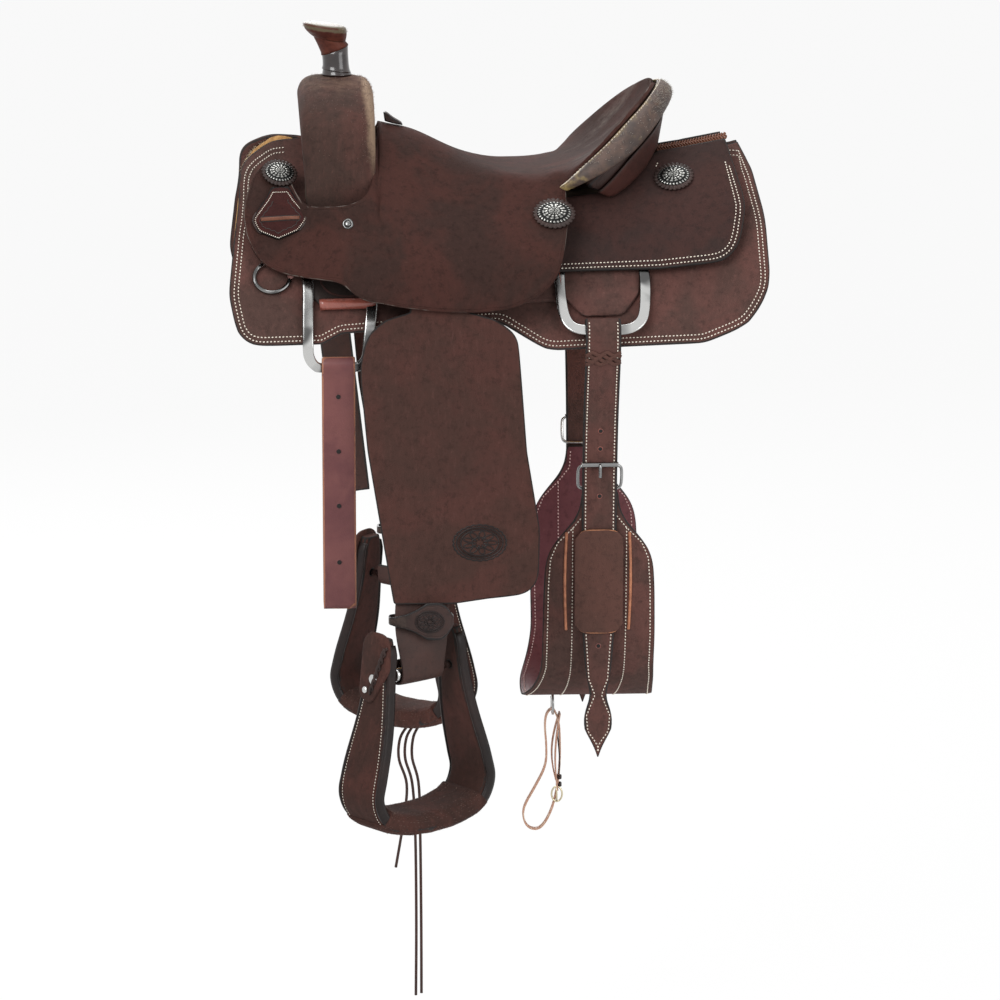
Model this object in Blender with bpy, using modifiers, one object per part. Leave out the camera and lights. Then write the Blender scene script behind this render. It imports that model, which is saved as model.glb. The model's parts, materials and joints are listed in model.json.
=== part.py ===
"""Team roping saddle, built as a saddler builds it: blanks cut flat, then draped over the tree.

Metres. The horse's head is at -X, the near (left) side is -Y and +Z is up.
"""

import math

import bmesh
import bpy
from mathutils import Matrix, Vector

# The horse's back: an arc on each side from the ridge to the flank, its axis beyond the middle plane.
BACK_RADIUS = 0.4925
RIDGE_HEIGHT = 0.07424
FLANK_HEIGHT = -0.110
FLANK_ACROSS = 0.18338
CHORD_HALF = math.hypot(FLANK_ACROSS, RIDGE_HEIGHT - FLANK_HEIGHT) / 2
CHORD_TILT = math.atan2(RIDGE_HEIGHT - FLANK_HEIGHT, FLANK_ACROSS)
CHORD_DEPTH = math.sqrt(BACK_RADIUS ** 2 - CHORD_HALF ** 2)
AXIS_ACROSS = CHORD_DEPTH * math.sin(CHORD_TILT) - FLANK_ACROSS / 2
AXIS_HEIGHT = (RIDGE_HEIGHT + FLANK_HEIGHT) / 2 - CHORD_DEPTH * math.cos(CHORD_TILT)
LOW_X = 0.02
RISE_FRONT = 0.55
RISE_REAR = 0.38

GAP = 0.0009
FIT = 0.0003
CELL_X = 0.07
CELL_Z = 0.034

SKIRT_THICK = 0.0045
FLEECE_THICK = 0.012
RIG_THICK = 0.0045
BAR_THICK = 0.016
DEE_THICK = 0.004
LEATHER_THICK = 0.005
HOUSING_THICK = 0.004
RIG_LIFT = SKIRT_THICK + GAP
DEE_LIFT = RIG_LIFT + RIG_THICK + 0.0014
BAR_LIFT = SKIRT_THICK + 0.0016

JOCKEY_LIFT = ((-0.08, 0.0530), (-0.045, 0.0655), (-0.02, 0.0700), (0.02, 0.0680), (0.05, 0.0640), (0.08, 0.0600))

WING_LIFT = ((-0.04, 0.020), (0.05, 0.026))
LIP_LIFT = 0.013
SHOULDER_DROP = 0.010

COLLECTION = "team_roping_saddle"
SIDES = (("near", -1), ("off", 1))


def clear_scene():
    """Removes everything that the startup file holds."""
    for item in list(bpy.data.objects):
        bpy.data.objects.remove(item)
    for group in list(bpy.data.collections):
        bpy.data.collections.remove(group)


def new_collection(name):
    group = bpy.data.collections.new(name)
    bpy.context.scene.collection.children.link(group)
    return group


def new_material(name, colour, metallic=0.0, roughness=0.6):
    material = bpy.data.materials.new(name)
    material.use_nodes = True
    shader = material.node_tree.nodes["Principled BSDF"]
    shader.inputs["Base Color"].default_value = (*colour, 1.0)
    shader.inputs["Metallic"].default_value = metallic
    shader.inputs["Roughness"].default_value = roughness
    material.diffuse_color = (*colour, 1.0)
    return material


def put(name, mesh, material, group=None, smooth=False):
    """Names a mesh, gives it its material and places it in the part's collection."""
    mesh.name = name
    mesh.materials.append(material)
    for face in mesh.polygons:
        face.use_smooth = smooth
    item = bpy.data.objects.new(name, mesh)
    (group or bpy.data.collections[COLLECTION]).objects.link(item)
    return item


def mesh_of(points, faces):
    mesh = bpy.data.meshes.new("shape")
    mesh.from_pydata([tuple(p) for p in points], [], faces)
    work = bmesh.new()
    work.from_mesh(mesh)
    bmesh.ops.recalc_face_normals(work, faces=work.faces[:])
    work.to_mesh(mesh)
    work.free()
    return mesh


# Curves through few points


def fillet(corners, step=0.35):
    """Closed outline from corners (a, b, radius), each corner rounded by an arc."""
    outline = []
    for i, (a, b, radius) in enumerate(corners):
        corner = Vector((a, b))
        before = Vector(corners[i - 1][:2]) - corner
        after = Vector(corners[(i + 1) % len(corners)][:2]) - corner
        if radius <= 0:
            outline.append(corner)
            continue
        turn = before.angle(after)
        reach = min(radius / math.tan(turn / 2), before.length * 0.49, after.length * 0.49)
        start = corner + before.normalized() * reach
        end = corner + after.normalized() * reach
        pieces = max(2, math.ceil((math.pi - turn) / step))
        for k in range(pieces + 1):
            t = k / pieces
            outline.append(start * (1 - t) ** 2 + corner * (2 * t * (1 - t)) + end * t ** 2)
    return outline


def smooth_at(knots, t):
    """Point at t in 0..1 on the smooth curve through the knots."""
    place = min(max(t, 0.0), 1.0) * (len(knots) - 1)
    i = min(int(place), len(knots) - 2)
    f = place - i
    p = [Vector(knots[min(max(k, 0), len(knots) - 1)]) for k in (i - 1, i, i + 1, i + 2)]
    return 0.5 * (
        2 * p[1]
        + (p[2] - p[0]) * f
        + (2 * p[0] - 5 * p[1] + 4 * p[2] - p[3]) * f ** 2
        + (3 * p[1] - p[0] - 3 * p[2] + p[3]) * f ** 3
    )


def smooth_curve(knots, count):
    return [smooth_at(knots, i / (count - 1)) for i in range(count)]


def value_at(table, x):
    """Straight-line value at x in rows of (x, value)."""
    if x <= table[0][0]:
        return table[0][1]
    for (x0, v0), (x1, v1) in zip(table, table[1:]):
        if x <= x1:
            return v0 + (v1 - v0) * (x - x0) / (x1 - x0)
    return table[-1][1]


def ease(low, high, value):
    t = min(max((value - low) / (high - low), 0.0), 1.0)
    return t * t * (3 - 2 * t)


# The drape over the horse's back


def axis_height(x):
    rise = RISE_FRONT if x < LOW_X else RISE_REAR
    return AXIS_HEIGHT + rise * (x - LOW_X) ** 2


def back_angle(x, height, lift):
    ratio = (height - axis_height(x)) / (BACK_RADIUS + lift)
    return math.acos(min(max(ratio, -1.0), 1.0))


def draped(x, height, lift, above, side):
    """Place on the layer that lies lift off the horse's back, above over it, read in side view."""
    angle = back_angle(x, height, lift)
    radius = BACK_RADIUS + lift + above
    across = radius * math.sin(angle) - AXIS_ACROSS
    return Vector((x, side * across, axis_height(x) + radius * math.cos(angle)))


def outward(x, height, lift, side):
    """Direction straight off the horse's back."""
    angle = back_angle(x, height, lift)
    return Vector((0.0, side * math.sin(angle), math.cos(angle)))


def housing_lift_at(across):
    """Lift of the rear jockey at a distance from the spine: low at the ridge, over the bars, low again."""
    low = DEE_LIFT + DEE_THICK + GAP
    rise = ease(0.004, 0.028, across)
    over_bars = BAR_LIFT + BAR_THICK + 0.002 - low
    return 0.008 + (low - 0.008) * rise + over_bars * rise * (1 - ease(0.134, 0.166, across))


def lift_housing(x, height):
    lift = 0.018
    for _ in range(6):
        lift = 0.5 * lift + 0.5 * housing_lift_at(draped(x, height, lift, 0.0, 1).y)
    return lift


def lift_jockey(x, height):
    side_lift = value_at(JOCKEY_LIFT, height)
    front_lift = value_at(WING_LIFT, height)
    lip = LIP_LIFT * ease(-0.268, -0.248, x) * (1 - ease(-0.166, -0.150, x)) * ease(0.015, 0.055, height)
    drop = SHOULDER_DROP * ease(-0.150, -0.090, x) * (1 - ease(0.000, 0.035, x)) * ease(0.000, 0.050, height)
    return front_lift + (side_lift - front_lift) * ease(-0.30, -0.19, x) + lip - drop


def surface_frame(lift, x, height, side):
    """Place on a layer with its outward normal and its direction along the back, by small steps."""
    step = 0.004

    def spot(a, b):
        return draped(a, b, lift(a, b), 0.0, side)

    along = (spot(x + step, height) - spot(x - step, height)).normalized()
    upward = (spot(x, height + step) - spot(x, height - step)).normalized()
    out = along.cross(upward) * side
    if out.dot(outward(x, height, 0.0, side)) < 0:
        out = -out
    return spot(x, height), out.normalized(), along


# Builders of solids


def blank(outline, thick, place, cell_a=CELL_X, cell_b=CELL_Z):
    """Flat blank cut to an outline, marked in cells and bent to shape by place(a, b, above)."""
    work = bmesh.new()
    ring = [work.verts.new((p[0], p[1], 0.0)) for p in outline]
    work.faces.new(ring)
    low_a, high_a = min(p[0] for p in outline), max(p[0] for p in outline)
    low_b, high_b = min(p[1] for p in outline), max(p[1] for p in outline)
    for axis, low, high, cell in ((0, low_a, high_a, cell_a), (1, low_b, high_b, cell_b)):
        line = math.ceil(low / cell) * cell
        while line < high:
            spot = Vector((line, 0, 0)) if axis == 0 else Vector((0, line, 0))
            across = Vector((1, 0, 0)) if axis == 0 else Vector((0, 1, 0))
            parts = work.verts[:] + work.edges[:] + work.faces[:]
            bmesh.ops.bisect_plane(work, geom=parts, dist=0.0004, plane_co=spot, plane_no=across)
            line += cell
    bmesh.ops.triangulate(work, faces=work.faces[:], ngon_method="BEAUTY")
    sheet = [(v.co.x, v.co.y) for v in work.verts]
    work.verts.index_update()
    tops = [[v.index for v in face.verts] for face in work.faces]
    rims = [[v.index for v in edge.verts] for edge in work.edges if edge.is_boundary]
    work.free()
    count = len(sheet)
    points = [place(a, b, 0.0) for a, b in sheet] + [place(a, b, thick) for a, b in sheet]
    faces = [tuple(f) for f in tops] + [tuple(i + count for i in reversed(f)) for f in tops]
    faces += [(a, b, b + count, a + count) for a, b in rims]
    return mesh_of(points, faces)


def loft(rings, closed=False):
    """Skin over rings of equal count, capped at both ends unless it closes on itself."""
    size = len(rings[0])
    points = [p for ring in rings for p in ring]
    faces = []
    last = len(rings) if closed else len(rings) - 1
    for i in range(last):
        a, b = i * size, ((i + 1) % len(rings)) * size
        for k in range(size):
            n = (k + 1) % size
            faces.append((a + k, a + n, b + n, b + k))
    if not closed:
        faces.append(tuple(range(size)))
        faces.append(tuple(range(len(points) - size, len(points))))
    return mesh_of(points, faces)


def section(wide, thick, round_share=0.35):
    """Rounded bar section: points (across, out) round a bar of the given width and thickness."""
    cut = round_share * min(wide, thick)
    w, t = wide / 2, thick / 2
    return [
        (-w + cut, -t), (w - cut, -t), (w, -t + cut), (w, t - cut),
        (w - cut, t), (-w + cut, t), (-w, t - cut), (-w, -t + cut),
    ]


def sweep(path, outs, shape, closed=False):
    """Bar along a path. outs gives the outward direction at each point, shape its section there."""
    rings = []
    count = len(path)
    for i, spot in enumerate(path):
        before = path[i - 1] if closed or i > 0 else path[i]
        after = path[(i + 1) % count] if closed or i < count - 1 else path[i]
        along = (after - before).normalized()
        out = outs[i] if isinstance(outs, list) else outs
        across = out.cross(along).normalized()
        out = along.cross(across).normalized()
        points = shape[i] if isinstance(shape[0][0], (tuple, list)) else shape
        rings.append([spot + across * a + out * b for a, b in points])
    return loft(rings, closed)


def round_bar(radius, sides=8):
    turn = 2 * math.pi / sides
    return [(radius * math.cos(k * turn), radius * math.sin(k * turn)) for k in range(sides)]


def cut(item, cutter):
    """Takes the cutter out of an item for good and removes the cutter."""
    modifier = item.modifiers.new("cut", "BOOLEAN")
    modifier.operation = "DIFFERENCE"
    modifier.solver = "EXACT"
    modifier.object = cutter
    bpy.context.view_layer.update()
    result = bpy.data.meshes.new_from_object(item.evaluated_get(bpy.context.evaluated_depsgraph_get()))
    item.modifiers.clear()
    old = item.data
    item.data = result
    bpy.data.meshes.remove(old)
    bpy.data.objects.remove(cutter)


def layer(name, outline, thick, lift, side, material):
    """Leather layer cut to a side-view outline and draped at a lift over the back."""

    def place(x, height, above):
        here = lift(x, height) if callable(lift) else lift
        return draped(x, height, here, above, side)

    return put(name, blank(outline, thick, place), material, smooth=True)


# Tree

def ridge_height(x, lift, across):
    radius = BACK_RADIUS + lift
    return axis_height(x) + math.sqrt(radius ** 2 - (AXIS_ACROSS + across) ** 2)


def build_bars(wood):
    xs = (-0.26, -0.19, -0.11, 0.0, 0.09, 0.17, 0.24)
    inner = (0.040, 0.045, 0.068, 0.072, 0.064, 0.048, 0.044)
    outer = (0.118, 0.124, 0.120, 0.120, 0.118, 0.112, 0.104)
    top = [(x, ridge_height(x, BAR_LIFT, a)) for x, a in zip(xs, inner)]
    low = [(x, ridge_height(x, BAR_LIFT, a)) for x, a in zip(xs, outer)]
    corners = [(*p, 0.0) for p in top[1:-1]] + [(*top[-1], 0.02), (*low[-1], 0.03)]
    corners += [(*p, 0.02) for p in reversed(low[1:-1])] + [(*low[0], 0.03), (*top[0], 0.02)]
    for word, side in SIDES:
        bar = layer(f"tree_bar_{word}", fillet(corners), BAR_THICK, BAR_LIFT, side, wood)
        cut(bar, put("fork_notch", fork_solid(-GAP, 0.010), wood))


FORK_FRONT = -0.270
FORK_BACK = -0.168
FORK_COVER = 0.004


FORK_HALF = (
    (0.000, 0.199), (0.035, 0.196), (0.075, 0.187), (0.115, 0.172), (0.140, 0.150), (0.147, 0.120),
    (0.146, 0.090), (0.145, 0.062), (0.141, 0.040), (0.129, 0.036), (0.112, 0.051), (0.096, 0.066),
    (0.082, 0.090), (0.066, 0.115), (0.045, 0.133), (0.022, 0.142), (0.000, 0.144),
)
FOOT_TOP = 0.052
FOOT_FROM = 8
FOOT_REST = ((-0.0005, -0.0045), (0.0, -0.0055), (0.002, -0.0050), (0.002, -0.0040))
FOOT_OPEN = ((-0.002, -0.020), (0.000, -0.020), (0.006, -0.020), (0.010, -0.021))
LEG_TAPER = 0.0154
CROWN_TOP = 0.199


def fork_outline(inset, shrink=0.0, foot=()):
    """Front view of the swell fork, from its crown down the off leg, through the gullet and back."""
    half = [Vector(p) for p in FORK_HALF]
    full = half + [Vector((-p.x, p.y)) for p in reversed(half[1:-1])]
    moved = []
    for i, p in enumerate(full):
        along = (full[(i + 1) % len(full)] - full[i - 1]).normalized()
        amount = inset + shrink * ease(FOOT_TOP, FOOT_TOP + 0.055, p.y)
        moved.append(p + Vector((along.y, -along.x)) * amount)
    if not foot:
        return moved
    off_foot = [moved[FOOT_FROM + k] + Vector(drop) for k, drop in enumerate(foot)]
    near_foot = [Vector((-p.x, p.y)) for p in reversed(off_foot)]
    last = FOOT_FROM + len(foot) - 1
    mirror = len(full) - last
    return (
        moved[: FOOT_FROM + 1] + off_foot + moved[last: mirror + 1] + near_foot + moved[len(full) - FOOT_FROM:]
    )


def fork_solid(inset, round_by, foot=()):
    """Fork outline carried from front to back, its edges rounded by shrinking the end rings."""
    front, back = FORK_FRONT + inset, FORK_BACK - inset
    steps = ((0.0, round_by * 0.70), (0.20, round_by * 0.26), (0.60, round_by * 0.03))

    def ring(x, shrink, taper):
        outline = fork_outline(inset, shrink, foot)
        return [Vector((x + taper * LEG_TAPER * (CROWN_TOP - p.y) / CROWN_TOP, p.x, p.y)) for p in outline]

    rings = [ring(front + part * round_by, shrink, 1.0) for part, shrink in steps]
    rings += [ring(back - part * round_by, shrink, 0.0) for part, shrink in reversed(steps)]
    return loft(rings)


def build_fork(wood, roughout):
    """Swell fork and its rough-out cover, open under both feet where the fork goes in."""
    fork = put("tree_fork", fork_solid(FORK_COVER + 0.0020, 0.026, FOOT_REST), wood, smooth=True)
    cut(fork, post_cutter(NECK_RADIUS + FIT, wood))
    cover = put("fork_cover", fork_solid(0.0, 0.031), roughout, smooth=True)
    cut(cover, put("fork_cutter", fork_solid(FORK_COVER, 0.026, FOOT_OPEN), roughout))
    cut(cover, post_cutter(NECK_RADIUS + FIT, roughout))


def post_cutter(radius, material):
    """Hole that takes the horn's post."""
    rings = [tilted_disc(radius, height, horn_x(height)) for height in (POST_FOOT - FIT, 0.230)]
    return put("post_cutter", loft(rings), material)


NECK_RADIUS = 0.0130
WRAP_THICK = 0.0038
CAP_RADIUS = 0.0290
CAP_FLAT = 0.0080
CAP_TILT = math.radians(-8.0)
POST_FOOT = 0.176
HORN_LEAN = ((0.176, -0.2140), (0.236, -0.2185), (0.244, -0.2240), (0.253, -0.2300), (0.262, -0.2308))


def horn_x(height):
    return value_at(HORN_LEAN, height)


def tilted_disc(radius, height, centre_x, sides=20):
    ring = []
    for k in range(sides):
        turn = 2 * math.pi * k / sides
        dx = radius * math.cos(turn)
        ring.append(Vector((centre_x + dx, radius * math.sin(turn), height + dx * math.tan(CAP_TILT))))
    return ring


def horn_rings(rows):
    return [tilted_disc(radius, height, horn_x(height)) for radius, height in rows]


def build_horn(steel, buff, rubber):
    """Horn post let into the fork, its rubber-wrapped neck and the covered cap."""
    top = 0.0240
    core = ((NECK_RADIUS, POST_FOOT), (NECK_RADIUS, 0.236), (0.016, 0.244), (top, 0.253), (top, 0.2585))
    put("horn_core", loft(horn_rings(core)), steel, smooth=True)
    outer = NECK_RADIUS + WRAP_THICK
    inner = NECK_RADIUS + FIT
    tube = (
        (outer + 0.003, 0.2035), (outer, 0.210), (outer, 0.230), (outer - 0.001, 0.2352),
        (inner, 0.2352), (inner, 0.2035),
    )
    put("horn_wrap", loft(horn_rings(tube), closed=True), rubber, smooth=True)
    clear = FIT * 2
    cup = (
        (CAP_FLAT, 0.2590), (top + clear, 0.2590), (top + clear, 0.2528), (0.0162 + clear, 0.2440),
        (0.0205, 0.2440), (CAP_RADIUS, 0.2550), (CAP_RADIUS, 0.2630), (CAP_RADIUS - 0.003, 0.2652),
        (CAP_FLAT, 0.2660),
    )
    put("horn_cap_cover", loft(horn_rings(cup)), buff, smooth=True)


# Seat, cantle and jockeys

CROWN = (
    (-0.162, 0.1375), (-0.155, 0.136), (-0.140, 0.132), (-0.122, 0.129), (-0.107, 0.1245), (-0.085, 0.111),
    (-0.066, 0.099), (-0.033, 0.084), (0.0, 0.0775), (0.027, 0.076), (0.050, 0.078), (0.079, 0.083), (0.100, 0.088),
    (0.125, 0.099), (0.150, 0.117), (0.180, 0.150), (0.195, 0.173), (0.203, 0.187),
)
PANEL_LOW = (
    (-0.334, 0.014), (-0.330, -0.004), (-0.318, -0.021), (-0.302, -0.031), (-0.281, -0.037), (-0.248, -0.040),
    (-0.215, -0.041), (-0.206, -0.047), (-0.199, -0.058), (-0.192, -0.066), (-0.167, -0.068), (-0.136, -0.075),
    (-0.091, -0.081), (-0.041, -0.083), (-0.004, -0.081), (0.021, -0.073), (0.048, -0.059), (0.066, -0.038),
    (0.076, -0.010), (0.079, 0.020),
)
WING_TOP = (
    (-0.334, 0.034), (-0.331, 0.052), (-0.322, 0.080), (-0.308, 0.094), (-0.290, 0.099), (-0.278, 0.091),
    (-0.270, 0.068), (-0.256, 0.046), (-0.235, 0.048), (-0.215, 0.049), (-0.198, 0.051), (-0.178, 0.057),
    (-0.166, 0.072), (-0.162, 0.096), (-0.1590, 0.112),
)
RIM = (
    (0.070, -0.122, 0.066), (0.094, -0.132, 0.092), (0.126, -0.125, 0.122),
    (0.152, -0.108, 0.148), (0.183, -0.071, 0.175), (0.203, 0.0, 0.193),
)
ROLL = (
    (0.080, -0.136, 0.060), (0.104, -0.147, 0.072), (0.140, -0.143, 0.091),
    (0.172, -0.123, 0.112), (0.204, -0.078, 0.143), (0.228, 0.0, 0.168),
)
GROUND_SHARE = 0.80
GROUND_THICK = 0.004
SEAT_ROWS = 5
PANEL_ROWS = 5
CROWN_JOIN = 0.115


def arch_point(knots, t):
    """Point on an arch given by its near half, t from -1 at the near end to 1 at the off end."""
    off_half = [(x, -y, z) for x, y, z in reversed(knots[:-1])]
    return smooth_at(list(knots) + off_half, (t + 1) / 2)


def seat_section(x):
    """Half section of seat and jockey at x, crown first, as (across, height) pairs."""
    crown = value_at(CROWN, x)
    join = CROWN_JOIN
    lift = lift_jockey(x, 0.05)
    radius = BACK_RADIUS + lift
    join_height = axis_height(x) + math.sqrt(radius ** 2 - (AXIS_ACROSS + join) ** 2)
    slope = -(AXIS_ACROSS + join) / (join_height - axis_height(x))
    points = []
    for i in range(13):
        t = i / 12
        h = (2 * t ** 3 - 3 * t ** 2 + 1) * crown + (3 * t ** 2 - 2 * t ** 3) * join_height
        h += (t ** 3 - t ** 2) * join * slope
        points.append((t * join, h))
    height = join_height - 0.012
    while height > -0.10:
        place = draped(x, height, lift_jockey(x, height), 0.0, 1)
        points.append((place.y, place.z))
        height -= 0.012
    return points


def along_section(points, share):
    """Point at a share 0..1 of a polyline's length."""
    lengths = [math.dist(a, b) for a, b in zip(points, points[1:])]
    left = share * sum(lengths)
    for a, b, length in zip(points, points[1:], lengths):
        if left <= length:
            t = left / length
            return a[0] + (b[0] - a[0]) * t, a[1] + (b[1] - a[1]) * t
        left -= length
    return points[-1]


def section_between(points, high, low):
    """The stretch of a section from one height down to another."""
    kept = []
    for a, b in zip(points, points[1:]):
        for limit in (high, low):
            if a[1] >= limit > b[1]:
                t = (a[1] - limit) / (a[1] - b[1])
                kept.append((a[0] + (b[0] - a[0]) * t, limit))
        if low < b[1] < high:
            kept.append(b)
    return kept


def wing_column(x):
    points = section_between(seat_section(x), value_at(WING_TOP, x), value_at(PANEL_LOW, x))
    rows = SEAT_ROWS + PANEL_ROWS
    return [along_section(points, i / rows) for i in range(rows + 1)]


def seat_column(x):
    """Crown to the height of the cantle's end, then down to the jockey's lower edge."""
    full = seat_section(x)
    turn = 0.066
    upper = [full[0]] + section_between(full, full[0][1] - 1e-6, turn)
    lower = section_between(full, turn, value_at(PANEL_LOW, x))
    column = [along_section(upper, i / SEAT_ROWS) for i in range(SEAT_ROWS + 1)]
    return column + [along_section(lower, i / PANEL_ROWS) for i in range(1, PANEL_ROWS + 1)]


def dish_column(x, share=1.0):
    """Seat dish between the crown line and a share of the way out to the cantle's rim."""
    t = 0.0
    while arch_point(RIM, -1 + t).x < x and t < 0.999:
        t += 0.002
    rim = arch_point(RIM, -1 + t)
    crown = value_at(CROWN, x)
    across = max(abs(rim.y), 0.010)
    rows = [share * across * i / SEAT_ROWS for i in range(SEAT_ROWS + 1)]
    return [(y, crown + (rim.z - crown) * (y / across) ** 2) for y in rows]


WING_XS = (
    -0.334, -0.331, -0.322, -0.308, -0.290, -0.278, -0.270, -0.256, -0.235, -0.215,
    -0.198, -0.178, -0.166, -0.162, -0.1590,
)
SEAT_XS = (-0.155, -0.140, -0.115, -0.085, -0.045, 0.0, 0.030, 0.055, 0.070, 0.079)
DISH_XS = (0.095, 0.115, 0.140, 0.165, 0.185, 0.200)


def seat_sheet(seat_xs, dish_xs, whole, drop):
    """Sheet of the seat and its dish, with the jockeys where whole, dropped in along its normals."""
    work = bmesh.new()
    columns = []
    for x in (WING_XS if whole else ()) + seat_xs + dish_xs:
        if x in WING_XS:
            rows = wing_column(x)
        elif x in DISH_XS:
            rows = dish_column(x, 1.0 if whole else GROUND_SHARE)
        else:
            rows = seat_column(x)
            rows = rows if whole else rows[: SEAT_ROWS + 1]
        column = {}
        for side in (-1, 1):
            for i, (y, z) in enumerate(rows):
                if i == 0 and x not in WING_XS:
                    if side == -1:
                        column[(side, i)] = work.verts.new((x, 0.0, z))
                    else:
                        column[(side, i)] = column[(-1, 0)]
                else:
                    column[(side, i)] = work.verts.new((x, side * y, z))
        columns.append(column)
    for a, b in zip(columns, columns[1:]):
        for side in (-1, 1):
            for i in range(SEAT_ROWS + PANEL_ROWS):
                keys = ((side, i), (side, i + 1))
                if all(k in a and k in b for k in keys):
                    quad = [a[keys[0]], a[keys[1]], b[keys[1]], b[keys[0]]]
                    work.faces.new(quad)
    bmesh.ops.recalc_face_normals(work, faces=work.faces[:])
    work.normal_update()
    if sum(f.normal.z for f in work.faces) < 0:
        bmesh.ops.reverse_faces(work, faces=work.faces[:])
        work.normal_update()
    for vert in work.verts:
        normal = vert.normal.copy()
        if abs(vert.co.y) < 1e-6:
            normal.y = 0.0
            normal.normalize()
        vert.co -= normal * drop
    mesh = bpy.data.meshes.new("sheet")
    work.to_mesh(mesh)
    work.free()
    return mesh


def thicken(item, thick):
    modifier = item.modifiers.new("leather", "SOLIDIFY")
    modifier.thickness = thick
    modifier.offset = -1.0


def build_seat(leather, plain):
    seat = put("seat_leather", seat_sheet(SEAT_XS, DISH_XS, True, 0.0), leather, smooth=True)
    thicken(seat, LEATHER_THICK)
    ground = put("ground_seat", seat_sheet(SEAT_XS[1:], DISH_XS[:-2], False, LEATHER_THICK + GAP), plain, smooth=True)
    thicken(ground, GROUND_THICK)


BOARD_FOOT = 0.64
FOOT_CLEAR = 0.0077
BOARD_OFF = 0.0100
BOARD_THICK = 0.0075
BACK_THICK = 0.0030
BACK_GAP = 0.0025
ROLL_SECTION = (
    (0.0, 0.0), (0.18, 0.0055), (0.50, 0.0085), (0.82, 0.0065), (1.0, 0.0), (0.82, -0.0030), (0.18, -0.0015),
)


def build_cantle(wood, leather, worn):
    """Cantle board, its back cover and the rolled binding over its edge."""
    board, cover, roll = [], [], []
    steps = 20
    for i in range(steps + 1):
        t = -0.86 + 1.72 * i / steps
        rim, edge = arch_point(RIM, t), arch_point(ROLL, t)
        across = abs(rim.y) * BOARD_FOOT
        foot_x = rim.x * 0.50 + 0.086
        foot_lift = housing_lift_at(across) + FOOT_CLEAR
        base = Vector((foot_x, math.copysign(across, t), ridge_height(foot_x + 0.016, foot_lift, across)))
        down = (base - rim).normalized()
        out = (edge - rim) - down * (edge - rim).dot(down)
        out.normalize()
        start = rim + down * 0.0235 + out * BOARD_OFF
        foot = base + out * BOARD_OFF
        board.append([start, start + out * BOARD_THICK, foot + out * BOARD_THICK, foot])
        inner = out * (BOARD_THICK + BACK_GAP)
        outer = inner + out * BACK_THICK
        drop = down * 0.020
        cover.append([start + drop + inner, start + drop + outer, foot + outer, foot + inner])
    put("tree_cantle", loft(board), wood, smooth=True)
    put("cantle_back", loft(cover), leather, smooth=True)
    for i in range(29):
        t = -1 + i / 14
        rim, edge = arch_point(RIM, t), arch_point(ROLL, t)
        along = (arch_point(RIM, t + 0.02) - arch_point(RIM, t - 0.02)).normalized()
        wide = edge - rim
        bulge = wide.cross(along).normalized()
        start = rim + wide.normalized() * 0.0060 + bulge * 0.0015
        wide *= 1 - 0.0060 / wide.length
        roll.append([start + wide * a + bulge * b for a, b in ROLL_SECTION])
    put("cantle_binding", loft(roll), worn, smooth=True)


# Skirts, housings, rigging


def skirt_outline(lift, spine, inset):
    """Outline of skirt or fleece in side view; spine is its distance from the middle line at both ends."""
    ridge = []
    for x, open_by in ((0.315, 0.0), (0.22, 0.0), (0.16, 0.018), (0.08, 0.036), (-0.08, 0.036), (-0.17, 0.020),
                       (-0.262, 0.0)):
        ridge.append((x, ridge_height(x, lift, spine + open_by), 0.0))
    i = inset
    return ridge + [
        (-0.302 + i, 0.1115 - i, 0.03), (-0.338 + i, 0.084, 0.05), (-0.352 + i, 0.010, 0.12),
        (-0.3605 + i, -0.062, 0.06), (-0.347 + i, -0.126 + i, 0.06),
        (-0.240, -0.126 + i, 0.02), (-0.215, -0.114 + i, 0.02), (-0.010, -0.104 + i, 0.03),
        (0.050, -0.139 + i, 0.05), (0.255, -0.130 + i, 0.06), (0.314 - i, -0.107 + i, 0.06),
        (0.343 - i, -0.062, 0.06), (0.341 - i, 0.020, 0.12), (0.329 - i, 0.075, 0.04),
    ]


def build_skirts(leather, fleece, housing):
    shaped = fillet(skirt_outline(0.0, 0.008, 0.0))
    inner = -FLEECE_THICK - 0.0016
    under = fillet(skirt_outline(inner, 0.003, 0.002))
    jockey_top = [(x, ridge_height(x, 0.008, 0.0015), 0.0) for x in (0.296, 0.25, 0.205)]
    housing_outline = fillet(jockey_top + [
        (0.190, 0.083, 0.0), (0.150, 0.052, 0.02), (0.050, 0.040, 0.0), (0.050, -0.043, 0.0),
        (0.200, -0.039, 0.05), (0.300, -0.028, 0.05), (0.315, 0.040, 0.05),
    ])
    for word, side in SIDES:
        layer(f"skirt_{word}", shaped, SKIRT_THICK, 0.0, side, leather)
        layer(f"fleece_{word}", under, FLEECE_THICK, inner, side, fleece)
        layer(f"rear_jockey_{word}", housing_outline, HOUSING_THICK, lift_housing, side, housing)


FRONT_DEE = (
    (-0.250, -0.020), (-0.258, -0.060), (-0.259, -0.122), (-0.2575, -0.142), (-0.247, -0.1562), (-0.220, -0.1570),
    (-0.193, -0.1562), (-0.1825, -0.142), (-0.181, -0.122), (-0.174, -0.060), (-0.178, -0.020),
)
REAR_DEE = (
    (0.084, -0.036), (0.070, -0.040), (0.070, -0.076), (0.0755, -0.100), (0.0905, -0.1105), (0.1225, -0.1105),
    (0.1545, -0.1105), (0.1735, -0.100), (0.179, -0.076), (0.179, -0.040), (0.165, -0.036),
)
FRONT_FLARE = (-0.0310, -0.118, -0.175)
REAR_FLARE = (0.0100, -0.062, -0.130)


def dee_place(x, height, above, side):
    """On the rigging dees' layer, each dee's foot bent in or out from it."""
    spot = draped(x, height, DEE_LIFT, above, side)
    flare, start, foot = FRONT_FLARE if x < 0 else REAR_FLARE
    spot.y += side * flare * ease(0.0, 1.0, (height - start) / (foot - start))
    return spot


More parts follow.
